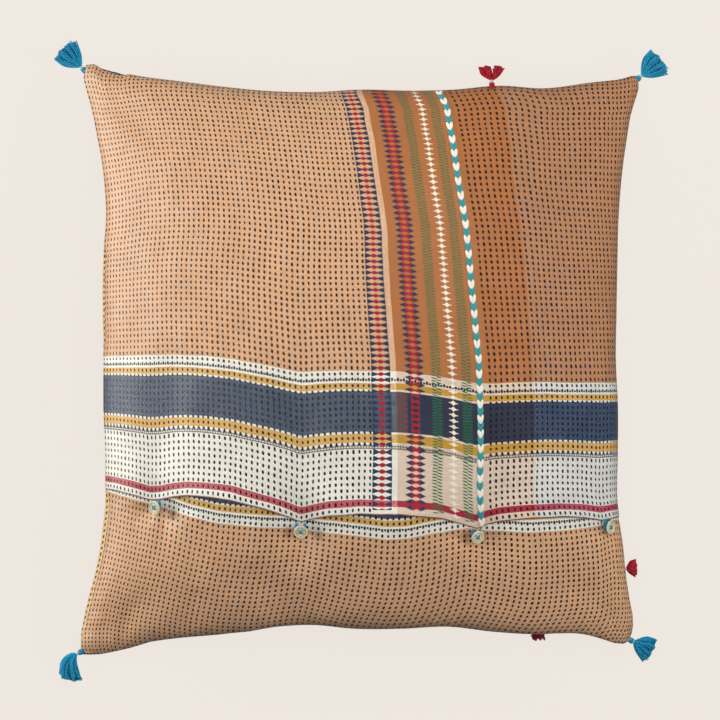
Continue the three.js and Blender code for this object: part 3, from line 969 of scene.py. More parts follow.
@dataclass(frozen=True)
class Handloom:
    """Handloom cloth: a plain weave with weft bands, warp stripes, dots and small figures.

    Cloth places are in mm: u from the left seam, v from the hem of the upper panel.
    """

    panel: Panel
    dot_pitch: float = 4.92
    dot_half_width: float = 0.92
    dot_half_height: float = 1.4
    dot_slant: float = 0.2
    thread_pitch: float = 0.72
    open_cover: float = 0.33
    band_cover: float = 0.35
    navy_cover: float = 0.44
    dot_rows: Rows = (
        (-58, -11), (2.7, 0), (53, 9), (60.4, 10), (65.4, 11), (70.4, 12), (107.3, 19), (111.6, 20),
        (117.5, 21), (122.3, 22), (648.3, 122),
    )
    bands: tuple[Band, ...] = (
        Band(-30, -0.1, 0x8E3A44),
        Band(5.7, 11.6, Yarn.CRIMSON.value),
        Band(61.6, 69.2, Yarn.MUSTARD.value),
        Band(71.2, 106.9, Yarn.NAVY.value),
        Band(108.7, 114.1, Yarn.MUSTARD.value),
        Band(125, 900, Yarn.ORANGE.value),
    )
    stripes: tuple[tuple[Band, int, int, float, float], ...] = (
        (Band(291.3, 408.3, Yarn.RUST.value), Yarn.SALMON.value, Yarn.DUSK.value, 0.2, 0.48),
        (Band(408.3, 900, Yarn.SLATE.value), Yarn.GREY.value, Yarn.GREY.value, 0.06, -0.08),
    )
    brown_strip: tuple[float, float] = (291.3, 300.5)
    plain_stretch: tuple[float, float] = (269.4, 367.5)
    brown_cover: float = -0.1
    front_edge: float = 15
    row_pitch: float = 5.26
    blob_power: float = 3.0
    shift_seed: float = 57.0
    across_spread: float = 0.16
    along_spread: float = 0.2
    width_spread: float = 0.26
    height_spread: float = 0.4
    ticks: tuple[tuple[float, float, float], ...] = ((0.0, 117.6, 1.5), (0.5, 117.0, 0.95))
    chain_lines: tuple[tuple[float, float], ...] = ((55.9, 56.9), (57.9, 58.9))
    chain_share: float = 0.85
    rungs: tuple[float, float] = (55.5, 60.0)
    rung_half_width: float = 0.42
    red_lozenges: FigureColumn = FigureColumn(278.3, ROW_MIDDLE, (
        Wedge(Yarn.NAVY, 2.2, 8.0, 0.4, 2.4), Wedge(Yarn.NAVY, 0.0, 5.0, 0.3, 0.3),
        Wedge(Yarn.RED, 0.0, 3.1, 2.0, 0.35), Wedge(Yarn.RED, 0.0, 2.0, 1.55, 1.2),
    ))
    red_hourglasses: FigureColumn = FigureColumn(306.9, -0.9, (
        Wedge(Yarn.NAVY, 3.2, 8.4, 2.4, 0.2), Wedge(Yarn.RED, 0.0, 3.6, 0.75, 2.35),
    ))
    pale_lozenges: FigureColumn = FigureColumn(339.4, -0.2, (
        Wedge(Yarn.CREAM, 0.0, 2.2, 2.3, 0.35), Wedge(Yarn.CREAM, 0.0, 3.9, 0.55, 0.4),
    ))
    ladder_middles: tuple[float, float] = (325.6, 351.4)
    ladder_half_width: float = 2.1
    ladder_slant: float = 0.02
    ladder_step: float = 0.12
    ladder_rung: tuple[float, float] = (2.15, 0.6)
    figures_start: float = 3.0
    pale_strip: tuple[float, float] = (286.6, 291.3)
    pale_patch: tuple[float, float] = (0.8, 1.1)
    pale_limit: float = 0.62
    pale_share: float = 0.3
    pale_share_on_navy: float = -0.2
    streaks: tuple[float, float] = (1.5, 0.05)
    cloud_scale: float = 0.03
    grain_scale: float = 1.7
    grain_share: float = 2.2
    slub_patch: tuple[float, float] = (0.75, 0.9)
    slub_limit: float = 0.9
    slub_light: float = 0.16
    least_light: float = 0.464
    light_spread: float = 0.2
    wobble_scale: float = 0.06
    wobble: float = 1.0
    ripple_scale: float = 0.045
    ripple: float = 0.8
    thread_height: float = 0.00007
    float_height: float = 0.00016

    def row_place(self, graph: ClothGraph) -> Socket:
        """Counts the dot rows up to a place.

        Args:
            graph: the material.

        Returns:
            The row count, whole at each row of dots.
        """
        total: Value = self.dot_rows[0][1]
        for (low, first), (high, last) in zip(self.dot_rows, self.dot_rows[1:]):
            total = graph.math("ADD", total, graph.ramp(graph.v, (low, high, 0.0, last - first)))
        return total

    def ground(self, graph: ClothGraph) -> Socket:
        """Colours the plain weave from its warp and weft yarns.

        Args:
            graph: the material.

        Returns:
            The ground's colour.
        """
        warp: Union[Socket, Sequence[float]] = linear(Yarn.WHITE.value)
        weft: Union[Socket, Sequence[float]] = linear(Yarn.WHITE.value)
        for band in self.bands:
            weft = graph.mix(graph.within(graph.v, band.low, band.high), weft, linear(band.code))
        navy = graph.within(graph.v, self.bands[3].low, self.bands[3].high)
        field_mask = graph.math("GREATER_THAN", graph.v, self.bands[-1].low)
        limit = graph.math("MULTIPLY_ADD", navy, self.navy_cover, self.open_cover)
        coloured: Value = navy
        for band in (self.bands[1], self.bands[2], self.bands[4]):
            tight = graph.within(graph.v, band.low, band.high)
            limit = graph.math("MULTIPLY_ADD", tight, self.band_cover, limit)
            coloured = graph.math("MAXIMUM", coloured, tight)
        if self.panel is Panel.UPPER_BACK:
            for stripe, pale_code, dark_code, dense, denser in self.stripes:
                yarn = graph.mix(field_mask, linear(pale_code), linear(stripe.code))
                yarn = graph.mix(coloured, yarn, linear(dark_code))
                here = graph.within(graph.u, stripe.low, stripe.high)
                warp = graph.mix(here, warp, yarn)
                closer = graph.math("MULTIPLY_ADD", navy, denser, dense)
                limit = graph.math("SUBTRACT", limit, graph.math("MULTIPLY", here, closer))
            strip = graph.math("MULTIPLY", navy, graph.within(graph.u, *self.brown_strip))
            warp = graph.mix(strip, warp, linear(Yarn.BROWN.value))
            limit = graph.math("MULTIPLY_ADD", strip, self.brown_cover, limit)
        if self.panel is Panel.FRONT:
            edge = graph.math("LESS_THAN", graph.u, self.front_edge)
            weft = graph.mix(edge, weft, linear(Yarn.MUSTARD.value))
        over = self.weave(graph)
        return graph.mix(graph.math("GREATER_THAN", over, limit), weft, warp)

    def weave(self, graph: ClothGraph) -> Socket:
        """Height of the plain weave's threads.

        Args:
            graph: the material.

        Returns:
            A socket from -1, where the weft lies over, to 1, where the warp does.
        """
        turn = math.pi / self.thread_pitch
        across = graph.math("SINE", graph.math("MULTIPLY", graph.u, turn))
        along = graph.math("SINE", graph.math("MULTIPLY", graph.v, turn))
        return graph.math("MULTIPLY", across, along)

    def blob(self, graph: ClothGraph, across: Socket, along: Socket, half_width: Value,
             half_height: Value) -> Socket:
        """Marks a rounded spot.

        Args:
            graph: the material.
            across: distance from the spot's middle across the warp.
            along: distance from it along the warp.
            half_width: half of the spot's width.
            half_height: half of its height.

        Returns:
            A socket that is 1 in the spot and 0 outside.
        """
        parts = []
        for away, half in ((across, half_width), (along, half_height)):
            share = graph.math("ABSOLUTE", graph.math("DIVIDE", away, half))
            parts.append(graph.math("POWER", share, self.blob_power))
        return graph.math("LESS_THAN", graph.math("ADD", *parts), 1.0)

    def in_row(self, graph: ClothGraph, rows: Socket, offset: float,
               step: float = 1.0) -> tuple[Socket, Socket]:
        """Finds the distance from the middle of a row of dots, in mm, and the row's number."""
        share, row = graph.cell(rows, step, offset)
        return graph.math("MULTIPLY", share, self.row_pitch), row

    def dots(self, graph: ClothGraph) -> Socket:
        """Marks the floats of extra navy warp, in even columns and rows.

        Args:
            graph: the material.

        Returns:
            A socket that is 1 on a dot and 0 elsewhere.
        """
        across, column = graph.cell(graph.u, self.dot_pitch)
        along, row = self.in_row(graph, graph.rows, ROW_MIDDLE)
        luck = graph.chance(graph.point(column, row))
        shift = graph.chance(graph.point(graph.math("ADD", column, self.shift_seed), row))
        across = graph.math("ADD", across, graph.spread(shift, self.across_spread))
        along = graph.math("ADD", along, graph.math("MULTIPLY", across, self.dot_slant))
        along = graph.math("ADD", along, graph.spread(luck, self.along_spread))
        width = graph.spread(luck, self.width_spread, self.dot_half_width)
        height = graph.spread(shift, self.height_spread, self.dot_half_height)
        spot = self.blob(graph, across, along, width, height)
        if self.panel is Panel.UPPER_BACK:
            plain = graph.within(graph.u, *self.plain_stretch)
            spot = graph.math("MULTIPLY", spot, graph.math("SUBTRACT", 1.0, plain))
        return graph.math("MAXIMUM", spot, self.arrow_line(graph))

    def arrow_line(self, graph: ClothGraph) -> Socket:
        """Marks the closely ticked line inside the white stripes.

        Args:
            graph: the material.

        Returns:
            A socket that is 1 on a tick and 0 elsewhere.
        """
        mask: Value = 0.0
        for start, middle, half_height in self.ticks:
            across, _ = graph.cell(graph.u, self.dot_pitch, start * self.dot_pitch)
            along = graph.math("SUBTRACT", graph.v, middle)
            tick = self.blob(graph, across, along, self.dot_half_width, half_height)
            mask = graph.math("MAXIMUM", mask, tick)
        return mask

    def chain_line(self, graph: ClothGraph) -> Socket:
        """Marks the thin double line above the white field.

        Args:
            graph: the material.

        Returns:
            A socket that is 1 on the line and 0 elsewhere.
        """
        pair = graph.math("MAXIMUM", *(graph.within(graph.v, *line) for line in self.chain_lines))
        rungs, _ = graph.cell(graph.u, self.dot_pitch / 2)
        rung = graph.math("LESS_THAN", graph.math("ABSOLUTE", rungs), self.rung_half_width)
        between = graph.math("MULTIPLY", rung, graph.within(graph.v, *self.rungs))
        return graph.math("MAXIMUM", pair, between)

    def wedge(self, graph: ClothGraph, out: Socket, along: Socket, part: Wedge) -> Socket:
        """Marks a figure's part whose height changes evenly from its inner to its outer end.

        Args:
            graph: the material.
            out: distance out from the figure's middle.
            along: distance up from its middle.
            part: where the part starts and ends, and half of its height at each end.

        Returns:
            A socket that is 1 in the part and 0 outside.
        """
        half = graph.ramp(out, (part.inner, part.outer, part.inner_half, part.outer_half))
        tall = graph.math("LESS_THAN", graph.math("ABSOLUTE", along), half)
        return graph.math("MULTIPLY", tall, graph.within(out, part.inner, part.outer))

    def ladder(self, graph: ClothGraph, middle: float) -> Socket:
        """Marks a green ladder: two columns of short rungs, half a step apart.

        Args:
            graph: the material.
            middle: the ladder's middle.

        Returns:
            A socket that is 1 on a rung and 0 elsewhere.
        """
        mask: Value = 0.0
        for side in (-1, 1):
            away = graph.math("SUBTRACT", graph.u, middle + side * self.ladder_half_width)
            slanted = graph.math("MULTIPLY_ADD", away, self.ladder_slant, graph.rows)
            along, _ = self.in_row(graph, slanted, self.ladder_step * side, 0.5)
            rung = self.blob(graph, away, along, *self.ladder_rung)
            mask = graph.math("MAXIMUM", mask, rung)
        return mask

    def figures(self, graph: ClothGraph, colour: Socket) -> tuple[Socket, Socket]:
        """Lays the figure columns over the ground.

        Args:
            graph: the material.
            colour: the ground's colour.

        Returns:
            The new colour, and a mask of all the figures.
        """
        above_hem = graph.math("GREATER_THAN", graph.v, self.figures_start)
        pale = graph.within(graph.u, *self.pale_strip)
        shown = graph.math("GREATER_THAN", graph.speckle(self.pale_patch), self.pale_limit)
        pale = graph.math("MULTIPLY", pale, shown)
        navy = graph.within(graph.v, self.bands[3].low, self.bands[3].high)
        calm = graph.math("MULTIPLY_ADD", navy, self.pale_share_on_navy, self.pale_share)
        colour = graph.mix(graph.math("MULTIPLY", pale, calm), colour, linear(Yarn.CREAM.value))
        masks = [(self.ladder(graph, middle), Yarn.GREEN) for middle in self.ladder_middles]
        for column in (self.red_lozenges, self.red_hourglasses, self.pale_lozenges):
            out = graph.math("ABSOLUTE", graph.math("SUBTRACT", graph.u, column.middle))
            along, _ = self.in_row(graph, graph.rows, column.offset)
            masks += [(self.wedge(graph, out, along, part), part.yarn) for part in column.parts]
        every: Value = 0.0
        for mask, yarn in masks:
            shown = graph.math("MULTIPLY", mask, above_hem)
            colour = graph.mix(shown, colour, linear(yarn.value))
            every = graph.math("MAXIMUM", every, shown)
        return colour, every

    def unevenness(self, graph: ClothGraph) -> Socket:
        """Streaks of thicker and thinner yarn along both thread directions, and faint clouds.

        Args:
            graph: the material.

        Returns:
            A brightness factor around 1.
        """
        thick, thin = self.streaks
        ways = []
        for across, along in ((thick, thin), (thin, thick)):
            place = graph.point(graph.math("MULTIPLY", graph.u, across),
                                graph.math("MULTIPLY", graph.v, along))
            ways.append(graph.noise(place, 1.0))
        cloud = graph.cloth_noise(self.cloud_scale, 3.0)
        grain = graph.cloth_noise(self.grain_scale, 3.0)
        total = graph.math("ADD", graph.math("ADD", *ways), cloud)
        total = graph.math("ADD", total, graph.math("MULTIPLY", grain, self.grain_share))
        slub = graph.math("GREATER_THAN", graph.speckle(self.slub_patch), self.slub_limit)
        least = graph.math("ADD", graph.math("MULTIPLY", slub, self.slub_light), self.least_light)
        return graph.math("MULTIPLY_ADD", total, self.light_spread, least)

    def material(self) -> bpy.types.Material:
        """Builds the cloth's material.

        Returns:
            The material.
        """
        graph = ClothGraph(f"handloom_{self.panel.value}")
        wobble = graph.cloth_noise(self.wobble_scale)
        graph.u = graph.math("ADD", graph.u, graph.spread(wobble, self.wobble))
        ripple = graph.noise(graph.point(graph.v, graph.u), self.ripple_scale)
        graph.v = graph.math("ADD", graph.v, graph.spread(ripple, self.ripple))
        graph.rows = self.row_place(graph)
        colour = self.ground(graph)
        chain = graph.math("MULTIPLY", self.chain_line(graph), self.chain_share)
        colour = graph.mix(chain, colour, linear(Yarn.PLUM.value))
        raised = self.dots(graph)
        colour = graph.mix(raised, colour, linear(Yarn.INK.value))
        if self.panel is Panel.UPPER_BACK:
            colour, figured = self.figures(graph, colour)
            raised = graph.math("MAXIMUM", raised, figured)
        colour = graph.shade(colour, self.unevenness(graph))
        round_threads = graph.math("ABSOLUTE", self.weave(graph))
        threads = graph.math("MULTIPLY", round_threads, self.thread_height)
        graph.bumped(graph.math("MULTIPLY_ADD", raised, self.float_height, threads))
        return graph.surface(colour, roughness=0.46, sheen=0.08, specular=0.72)


@dataclass(frozen=True)
class YarnFinish:
    """Twisted yarn or thread in one dye lot."""

    name: str
    code: int
    variation: float = 0.45
    sheen: float = 0.3
    fibre_scale: float = 2600.0
    fibre_share: float = 0.6
    fibre_height: float = 0.00012
    tone_scale: float = 320.0

    def material(self) -> bpy.types.Material:
        """Builds the yarn's material.

        Returns:
            The material.
        """
        graph = Graph(self.name)
        place = graph.object_place()
        fibres = graph.noise(place, self.fibre_scale, 3.0)
        tone = graph.math("MULTIPLY", graph.noise(place, self.tone_scale), 1 - self.fibre_share)
        both = graph.math("MULTIPLY_ADD", fibres, self.fibre_share, tone)
        factor = graph.spread(both, 2 * self.variation, 1.0)
        base = graph.node("ShaderNodeRGB")
        base.outputs[0].default_value = linear(self.code)
        colour = graph.shade(base.outputs[0], factor)
        graph.bumped(graph.math("MULTIPLY", fibres, self.fibre_height))
        return graph.surface(colour, roughness=0.7, sheen=self.sheen, specular=0.3)


@dataclass(frozen=True)
class HornFinish:
    """Pale horn: cloudy cream with brown streaks and a soft polish, and painted shade that darkens
    the groove inside the rim.
    """

    name: str = "pale_horn"
    pale: int = 0xECE3BE
    brown: int = 0x8E7C4C
    groove: tuple[float, float] = (3.9, 4.6)
    groove_shade_share: float = 0.6
    cloud_scale: float = 210.0
    cloud_height: float = 0.00008
    streak_scale: float = 130.0
    streak_bend: float = 7.0
    streak_share: float = 0.35
    least_brown: float = 0.3

    def material(self) -> bpy.types.Material:
        """Builds the horn's material.

        Returns:
            The material.
        """
        graph = Graph(self.name)
        place = graph.object_place()
        cloud = graph.noise(place, self.cloud_scale, 4.0)
        streaks = graph.node("ShaderNodeTexWave")
        graph.feed(streaks.inputs["Vector"], place)
        streaks.inputs["Scale"].default_value = self.streak_scale
        streaks.inputs["Distortion"].default_value = self.streak_bend
        grain = graph.math("MULTIPLY_ADD", streaks.outputs[1], self.streak_share, self.least_brown)
        share = graph.math("MULTIPLY", cloud, grain)
        colour = graph.mix(share, linear(self.pale), linear(self.brown))
        # Painted shade: the groove inside the rim is tinted towards brown, in place of the shade that
        # falls in it.
        groove_shade = graph.within(graph.turned_place(), *self.groove)
        groove_shade = graph.math("MULTIPLY", groove_shade, self.groove_shade_share)
        colour = graph.mix(groove_shade, colour, linear(self.brown))
        graph.bumped(graph.math("MULTIPLY", cloud, self.cloud_height))
        return graph.surface(colour, roughness=0.38, specular=0.45)


@dataclass(frozen=True)
class FloorFinish:
    """Plain pale floor that glows a little, as a lit studio sweep does."""

    name: str = "pale_floor"
    code: int = 0xF0E9E1
    glow: float = 0.93
    cloud_scale: float = 3.0
    cloud_share: float = 0.02

    def material(self) -> bpy.types.Material:
        """Builds the floor's material.

        Returns:
            The material.
        """
        graph = Graph(self.name)
        cloud = graph.noise(graph.object_place(), self.cloud_scale)
        share = graph.math("MULTIPLY", cloud, self.cloud_share)
        light = linear(self.code)
        colour = graph.mix(share, light, linear(Yarn.WHITE.value))
        graph.feed(graph.shader.inputs["Emission Color"], light)
        graph.shader.inputs["Emission Strength"].default_value = self.glow
        dark = graph.shade(colour, 1.0 - self.glow)
        return graph.surface(dark, roughness=0.9, specular=0.0)


@dataclass
class Strand:
    """A length of yarn: its middle line in mm, and its radius at each point."""

    points: np.ndarray
    radius: np.ndarray


def strand_mesh(name: str, strands: Sequence[Strand], sides: int = 1) -> bpy.types.Mesh:
    """Makes round strands with closed ends.

    Args:
        name: the mesh's name.
        strands: the strands.
        sides: the curve's bevel resolution; more is rounder.

    Returns:
        The mesh, in metres.
    """
    curve = bpy.data.curves.new(name, "CURVE")
    curve.dimensions = "3D"
    curve.bevel_depth = MM
    curve.bevel_resolution = sides
    curve.use_fill_caps = True
    for strand in strands:
        spline = curve.splines.new("POLY")
        spline.points.add(len(strand.points) - 1)
        flat = np.hstack([strand.points * MM, np.ones((len(strand.points), 1))])
        spline.points.foreach_set("co", flat.ravel())
        spline.points.foreach_set("radius", np.asarray(strand.radius, dtype=float))
    holder = put(name, curve)
    mesh = finished_mesh(holder)
    bpy.data.objects.remove(holder)
    bpy.data.curves.remove(curve)
    mesh.name = name
    return mesh


def gather(parts: Sequence[tuple[bpy.types.Mesh, int]]) -> bmesh.types.BMesh:
    """Joins meshes, each with its own material slot.

    Args:
        parts: the meshes and their slot numbers.

    Returns:
        One bmesh that holds them all.
    """
    bm = bmesh.new()
    for mesh, index in parts:
        start = len(bm.faces)
        bm.from_mesh(mesh)
        bm.faces.ensure_lookup_table()
        for face in bm.faces[start:]:
            face.material_index = index
        bpy.data.meshes.remove(mesh)
    return bm


def add_piece(name: str, bm: bmesh.types.BMesh, finishes: Sequence[bpy.types.Material],
              nodes: Sequence[str]) -> bpy.types.Object:
    """Turns a bmesh into a piece that rides on the pillow.

    Args:
        name: the piece's name.
        bm: its shape, in metres. It is used up.
        finishes: its materials, one a slot.
        nodes: the CAD nodes that it stands for.

    Returns:
        The piece.
    """
    for face in bm.faces:
        face.smooth = True
    mesh = mesh_of(name, bm)
    for finish in finishes:
        mesh.materials.append(finish)
    piece = put(name, mesh)
    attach(piece, BODY)
    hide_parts(*nodes)
    return piece


def cloth_grid(points: np.ndarray, places: np.ndarray, turned: bool = False) -> bmesh.types.BMesh:
    """Carries a flat grid's corners to the points of a cloth, and gives it the weave's map.

    Args:
        points: rows by columns of points in mm.
        places: the cloth place of each point.
        turned: True for cloth that faces down.

    Returns:
        The cloth as a bmesh, in metres.
    """
    rows, columns = points.shape[:2]
    bm = bmesh.new()
    bmesh.ops.create_grid(bm, x_segments=columns - 1, y_segments=rows - 1, size=0.5)
    layer = bm.loops.layers.uv.new(WEAVE_MAP)
    for vert in bm.verts:
        column = round((vert.co.x + 0.5) * (columns - 1))
        row = round((vert.co.y + 0.5) * (rows - 1))
        vert.co = points[row, column] * MM
        for loop in vert.link_loops:
            loop[layer].uv = places[row, column]
    if turned:
        bmesh.ops.reverse_faces(bm, faces=bm.faces)
    return bm


@dataclass(frozen=True)
class SeamTuck:
    """Where the back's seam is tucked in, so that the front panel peeks out beside it. In mm."""

    left: Rows = (
        (-258, 1.5), (-240, 3.9), (-124, 4.1), (-112, 0.8), (6, 0.8), (18, 3.4), (90, 3.4),
        (102, 0.8), (235, 0.3),
    )
    top: Rows = ((-234, 0), (-227, 3.2), (-211, 3.2), (-203, 0), (240, 0))
    power: float = 14

    def pull(self, points: np.ndarray, across: np.ndarray, up: np.ndarray) -> np.ndarray:
        """Moves the seam's edge in.

        Args:
            points: points of a skin.
            across: their across values.
            up: their up values.

        Returns:
            The moved points.
        """
        moved = points.copy()
        near_left = np.maximum(0, -across) ** self.power
        near_top = np.maximum(0, up) ** self.power
        moved[..., 0] += read_rows(self.left, points[..., 1]) * near_left
        moved[..., 1] -= read_rows(self.top, points[..., 0]) * near_top
        return moved


TUCK = SeamTuck()


@dataclass
class CushionBody:
    """The filled body: front panel and lower back panel, sewn round their edges."""

    columns: int = 186
    rows: int = 200
    crowding: float = 0.94
    peek_depth: float = 0.06
    front_top: float = 96.0
    lap: float = 40.0
    seam_gap: float = 0.02
    cloth: ClothMap = field(default_factory=ClothMap)

    def grid(self) -> tuple[np.ndarray, np.ndarray]:
        """Across and up values of the body's grid."""
        s = crowd(np.linspace(-1, 1, self.columns + 1), self.crowding)
        t = crowd(np.linspace(-1, 1, self.rows + 1), self.crowding)
        across, up = np.meshgrid(s, t)
        return across, up

    def back_skin(self) -> bmesh.types.BMesh:
        """Makes the side that faces up, with the lower back panel's cloth."""
        across, up = self.grid()
        points = TUCK.pull(FORM.back(across, up), across, up)
        u = self.cloth.warp_place(points, across, up)
        v = self.cloth.lower_place(points, across)
        caught = v < self.cloth.border - self.lap
        v = np.where(caught, self.cloth.seam_place(points, across, up), v)
        return cloth_grid(points, np.stack([u, v], axis=-1))

    def front_skin(self) -> bmesh.types.BMesh:
        """Makes the side that faces down, with the front panel's cloth."""
        across, up = self.grid()
        outline = FORM.front(across, up)
        tucked = TUCK.pull(outline, across, up)
        depth = np.clip(FORM.fullness(across, up) / self.peek_depth, 0, 1)[..., None]
        points = tucked + (outline - tucked) * np.sin(depth * math.pi / 2)
        run = np.linalg.norm(np.diff(points, axis=1), axis=-1)
        drop = np.linalg.norm(np.diff(points, axis=0), axis=-1)
        u = np.pad(np.cumsum(run, axis=1), ((0, 0), (1, 0)))
        v = np.pad(np.cumsum(drop[::-1], axis=0)[::-1], ((0, 1), (0, 0)))
        return cloth_grid(points, np.stack([u, self.front_top + v], axis=-1), turned=True)

    def build(self) -> bpy.types.Object:
        """Sews the two skins together.

        Returns:
            The body as one closed piece.
        """
        skins = (self.back_skin(), self.front_skin())
        bm = gather([(mesh_of("skin", skin), index) for index, skin in enumerate(skins)])
        rim = [vert for vert in bm.verts if vert.is_boundary]
        bmesh.ops.remove_doubles(bm, verts=rim, dist=self.seam_gap * MM)
        for edge in bm.edges:
            sides = {face.material_index for face in edge.link_faces}
            edge.smooth = len(sides) < 2
        for face in bm.faces:
            middle = face.calc_center_median() / MM
            caught = middle.y > read_rows(FORM.under_border, np.array(middle.x)) + self.lap
            if caught and face.material_index == 0:
                face.material_index = 2
        finishes = [Handloom(Panel.LOWER_BACK).material(), Handloom(Panel.FRONT).material(),
                    Handloom(Panel.UPPER_BACK).material()]
        piece = add_piece("filled_cushion", bm, finishes, ["cushion_body"])
        return piece


@dataclass
class UpperBackPanel:
    """The overlapping back panel: a sheet from the top seam to its turned-under hem."""

    columns: int = 168
    hem_rows: int = 14
    border_rows: int = 50
    field_rows: int = 96
    crowding: float = 0.9
    field_crowding: float = 0.85
    sewn_pace: float = 22
    reach: float = 0.997
    rise: float = 1.2
    hem_rise: float = 2.6
    seam_rise: float = 0.55
    hem_fade: float = 16
    turn_radius: float = 0.95
    turn_under: float = 10
    thickness: float = 1.0
    gapes: tuple[tuple[float, float, float], ...] = (
        (-226, -178, 1.0), (-178, -51.5, 5.0), (-51.5, 102, 6.0), (102, 220, 2.5),
    )
    gape_fade: float = 38
    cloth: ClothMap = field(default_factory=ClothMap)
    points: np.ndarray = field(init=False)
    normals: np.ndarray = field(init=False)
    u: np.ndarray = field(init=False)
    v: np.ndarray = field(init=False)

    def __post_init__(self) -> None:
        """Works out where every point of the sheet lies."""
        s = self.reach * crowd(np.linspace(-1, 1, self.columns + 1), self.crowding)
        turned = np.linspace(-self.turn_under, 0, self.hem_rows + 1)[:-1]
        border = np.linspace(0, self.cloth.border, self.border_rows + 1)[:-1]
        even = crowd(np.linspace(0, 1, self.field_rows + 1), self.field_crowding)
        heights = np.concatenate([turned, border, self.cloth.border + self.cloth.above * even])
        across, v = np.meshgrid(s, heights)
        up = self.up_values(s, across, v)
        flat = FORM.back(across, up)
        normals = FORM.normal(across, up)
        hem_y = FORM.plan(s, FORM.crossing(s, FORM.hem))[..., 1]
        above_hem = np.maximum(0, flat[..., 1] - hem_y)
        lift = self.lift(across, up, above_hem) + self.gape(flat[..., 0], above_hem)
        points = flat + normals * lift[..., None]
        points = TUCK.pull(points, across, up)
        self.normals = normals
        self.points = self.turn_hem(points, normals, v)
        self.u = self.cloth.warp_place(flat, across, up)
        self.v = v

    def up_values(self, s: np.ndarray, across: np.ndarray, v: np.ndarray) -> np.ndarray:
        """Up values of the sheet's rows, which follow the hem and then the border.

        Args:
            s: the columns' across values.
            across: the across values for every point; not used.
            v: each point's height above the hem, in mm of cloth.

        Returns:
            The up value of each point.
        """
        hem = FORM.crossing(s, FORM.hem)
        border = FORM.crossing(s, FORM.border_top)
        low = hem + (border - hem) * np.clip(v / self.cloth.border, 0, 1)
        shares, counts = zip(*self.cloth.rows_above)
        share = np.interp((v - self.cloth.border) / self.cloth.above, counts, shares)
        return np.where(v < self.cloth.border, low, border + (self.reach - border) * share)

    def lift(self, across: np.ndarray, up: np.ndarray, above_hem: np.ndarray) -> np.ndarray:
        """Height of the sheet's middle above the body.

        Args:
            across: the points' across values.
            up: their up values.
            above_hem: their distance from the hem.

        Returns:
            The height of each point in mm.
        """
        hem = (self.hem_rise - self.rise) * np.exp(-above_hem / self.hem_fade)
        sewn = np.minimum(self.reach - np.abs(across), self.reach - up) * self.sewn_pace
        return self.seam_rise + (self.rise + hem - self.seam_rise) * np.clip(sewn, 0, 1)

    def gape(self, x: np.ndarray, above_hem: np.ndarray) -> np.ndarray:
        """How far the hem stands off between its fastenings.

        Args:
            x: places across the pillow.
            above_hem: distance from the hem.

        Returns:
            The extra height of each point in mm.
        """
        total = 0 * x
        for start, end, gape in self.gapes:
            share = np.clip((x - start) / (end - start), 0, 1)
            total = total + gape * np.sin(math.pi * share) ** 2
        return total * np.exp(-above_hem / self.gape_fade)

    def turn_hem(self, points: np.ndarray, normals: np.ndarray, v: np.ndarray) -> np.ndarray:
        """Turns the cloth beyond the hem's edge under the sheet.

        Args:
            points: the sheet's points, with those beyond the hem at its edge.
            normals: their outward directions.
            v: their height above the hem in mm of cloth.

        Returns:
            The moved points.
        """
        first = self.hem_rows
        upward = points[first + 1] - points[first]
        upward = upward / np.linalg.norm(upward, axis=-1, keepdims=True)
        beyond = np.maximum(0, -v)[..., None]
        bend = np.minimum(beyond / self.turn_radius, math.pi)
        flat = np.maximum(0, beyond - math.pi * self.turn_radius)
        out = self.turn_radius * np.sin(bend) - flat
        down = self.turn_radius * (1 - np.cos(bend))
        return points - upward * out - normals * down

    def on_cloth(self, u: float, heights: np.ndarray) -> tuple[np.ndarray, np.ndarray]:
        """Places along one warp thread.

        Args:
            u: the thread's place from the left seam.
            heights: how far above the hem to look, in mm of cloth.

        Returns:
            The points on the sheet's middle and the outward directions there.
        """
        rows = range(self.hem_rows, len(self.v))
        found = []
        for row in rows:
            both = np.hstack([self.points[row], self.normals[row]])
            found.append([np.interp(u, self.u[row], both[:, axis]) for axis in range(6)])
        along = self.v[self.hem_rows:, 0]
        values = np.array(found)
        read = np.stack([np.interp(heights, along, values[:, axis]) for axis in range(6)], axis=-1)
        return read[:, :3], read[:, 3:]

    def build(self) -> bpy.types.Object:
        """Makes the sheet with its thickness.

        Returns:
            The sheet.
        """
        woven = self.cloth.upper_place(self.points, self.v)
        bm = cloth_grid(self.points, np.stack([self.u, woven], axis=-1))
        finish = Handloom(Panel.UPPER_BACK).material()
        piece = add_piece("upper_back_sheet", bm, [finish], ["upper_back_panel"])
        wall = piece.modifiers.new("thickness", "SOLIDIFY")
        wall.thickness = self.thickness * MM
        wall.offset = 0
        return piece


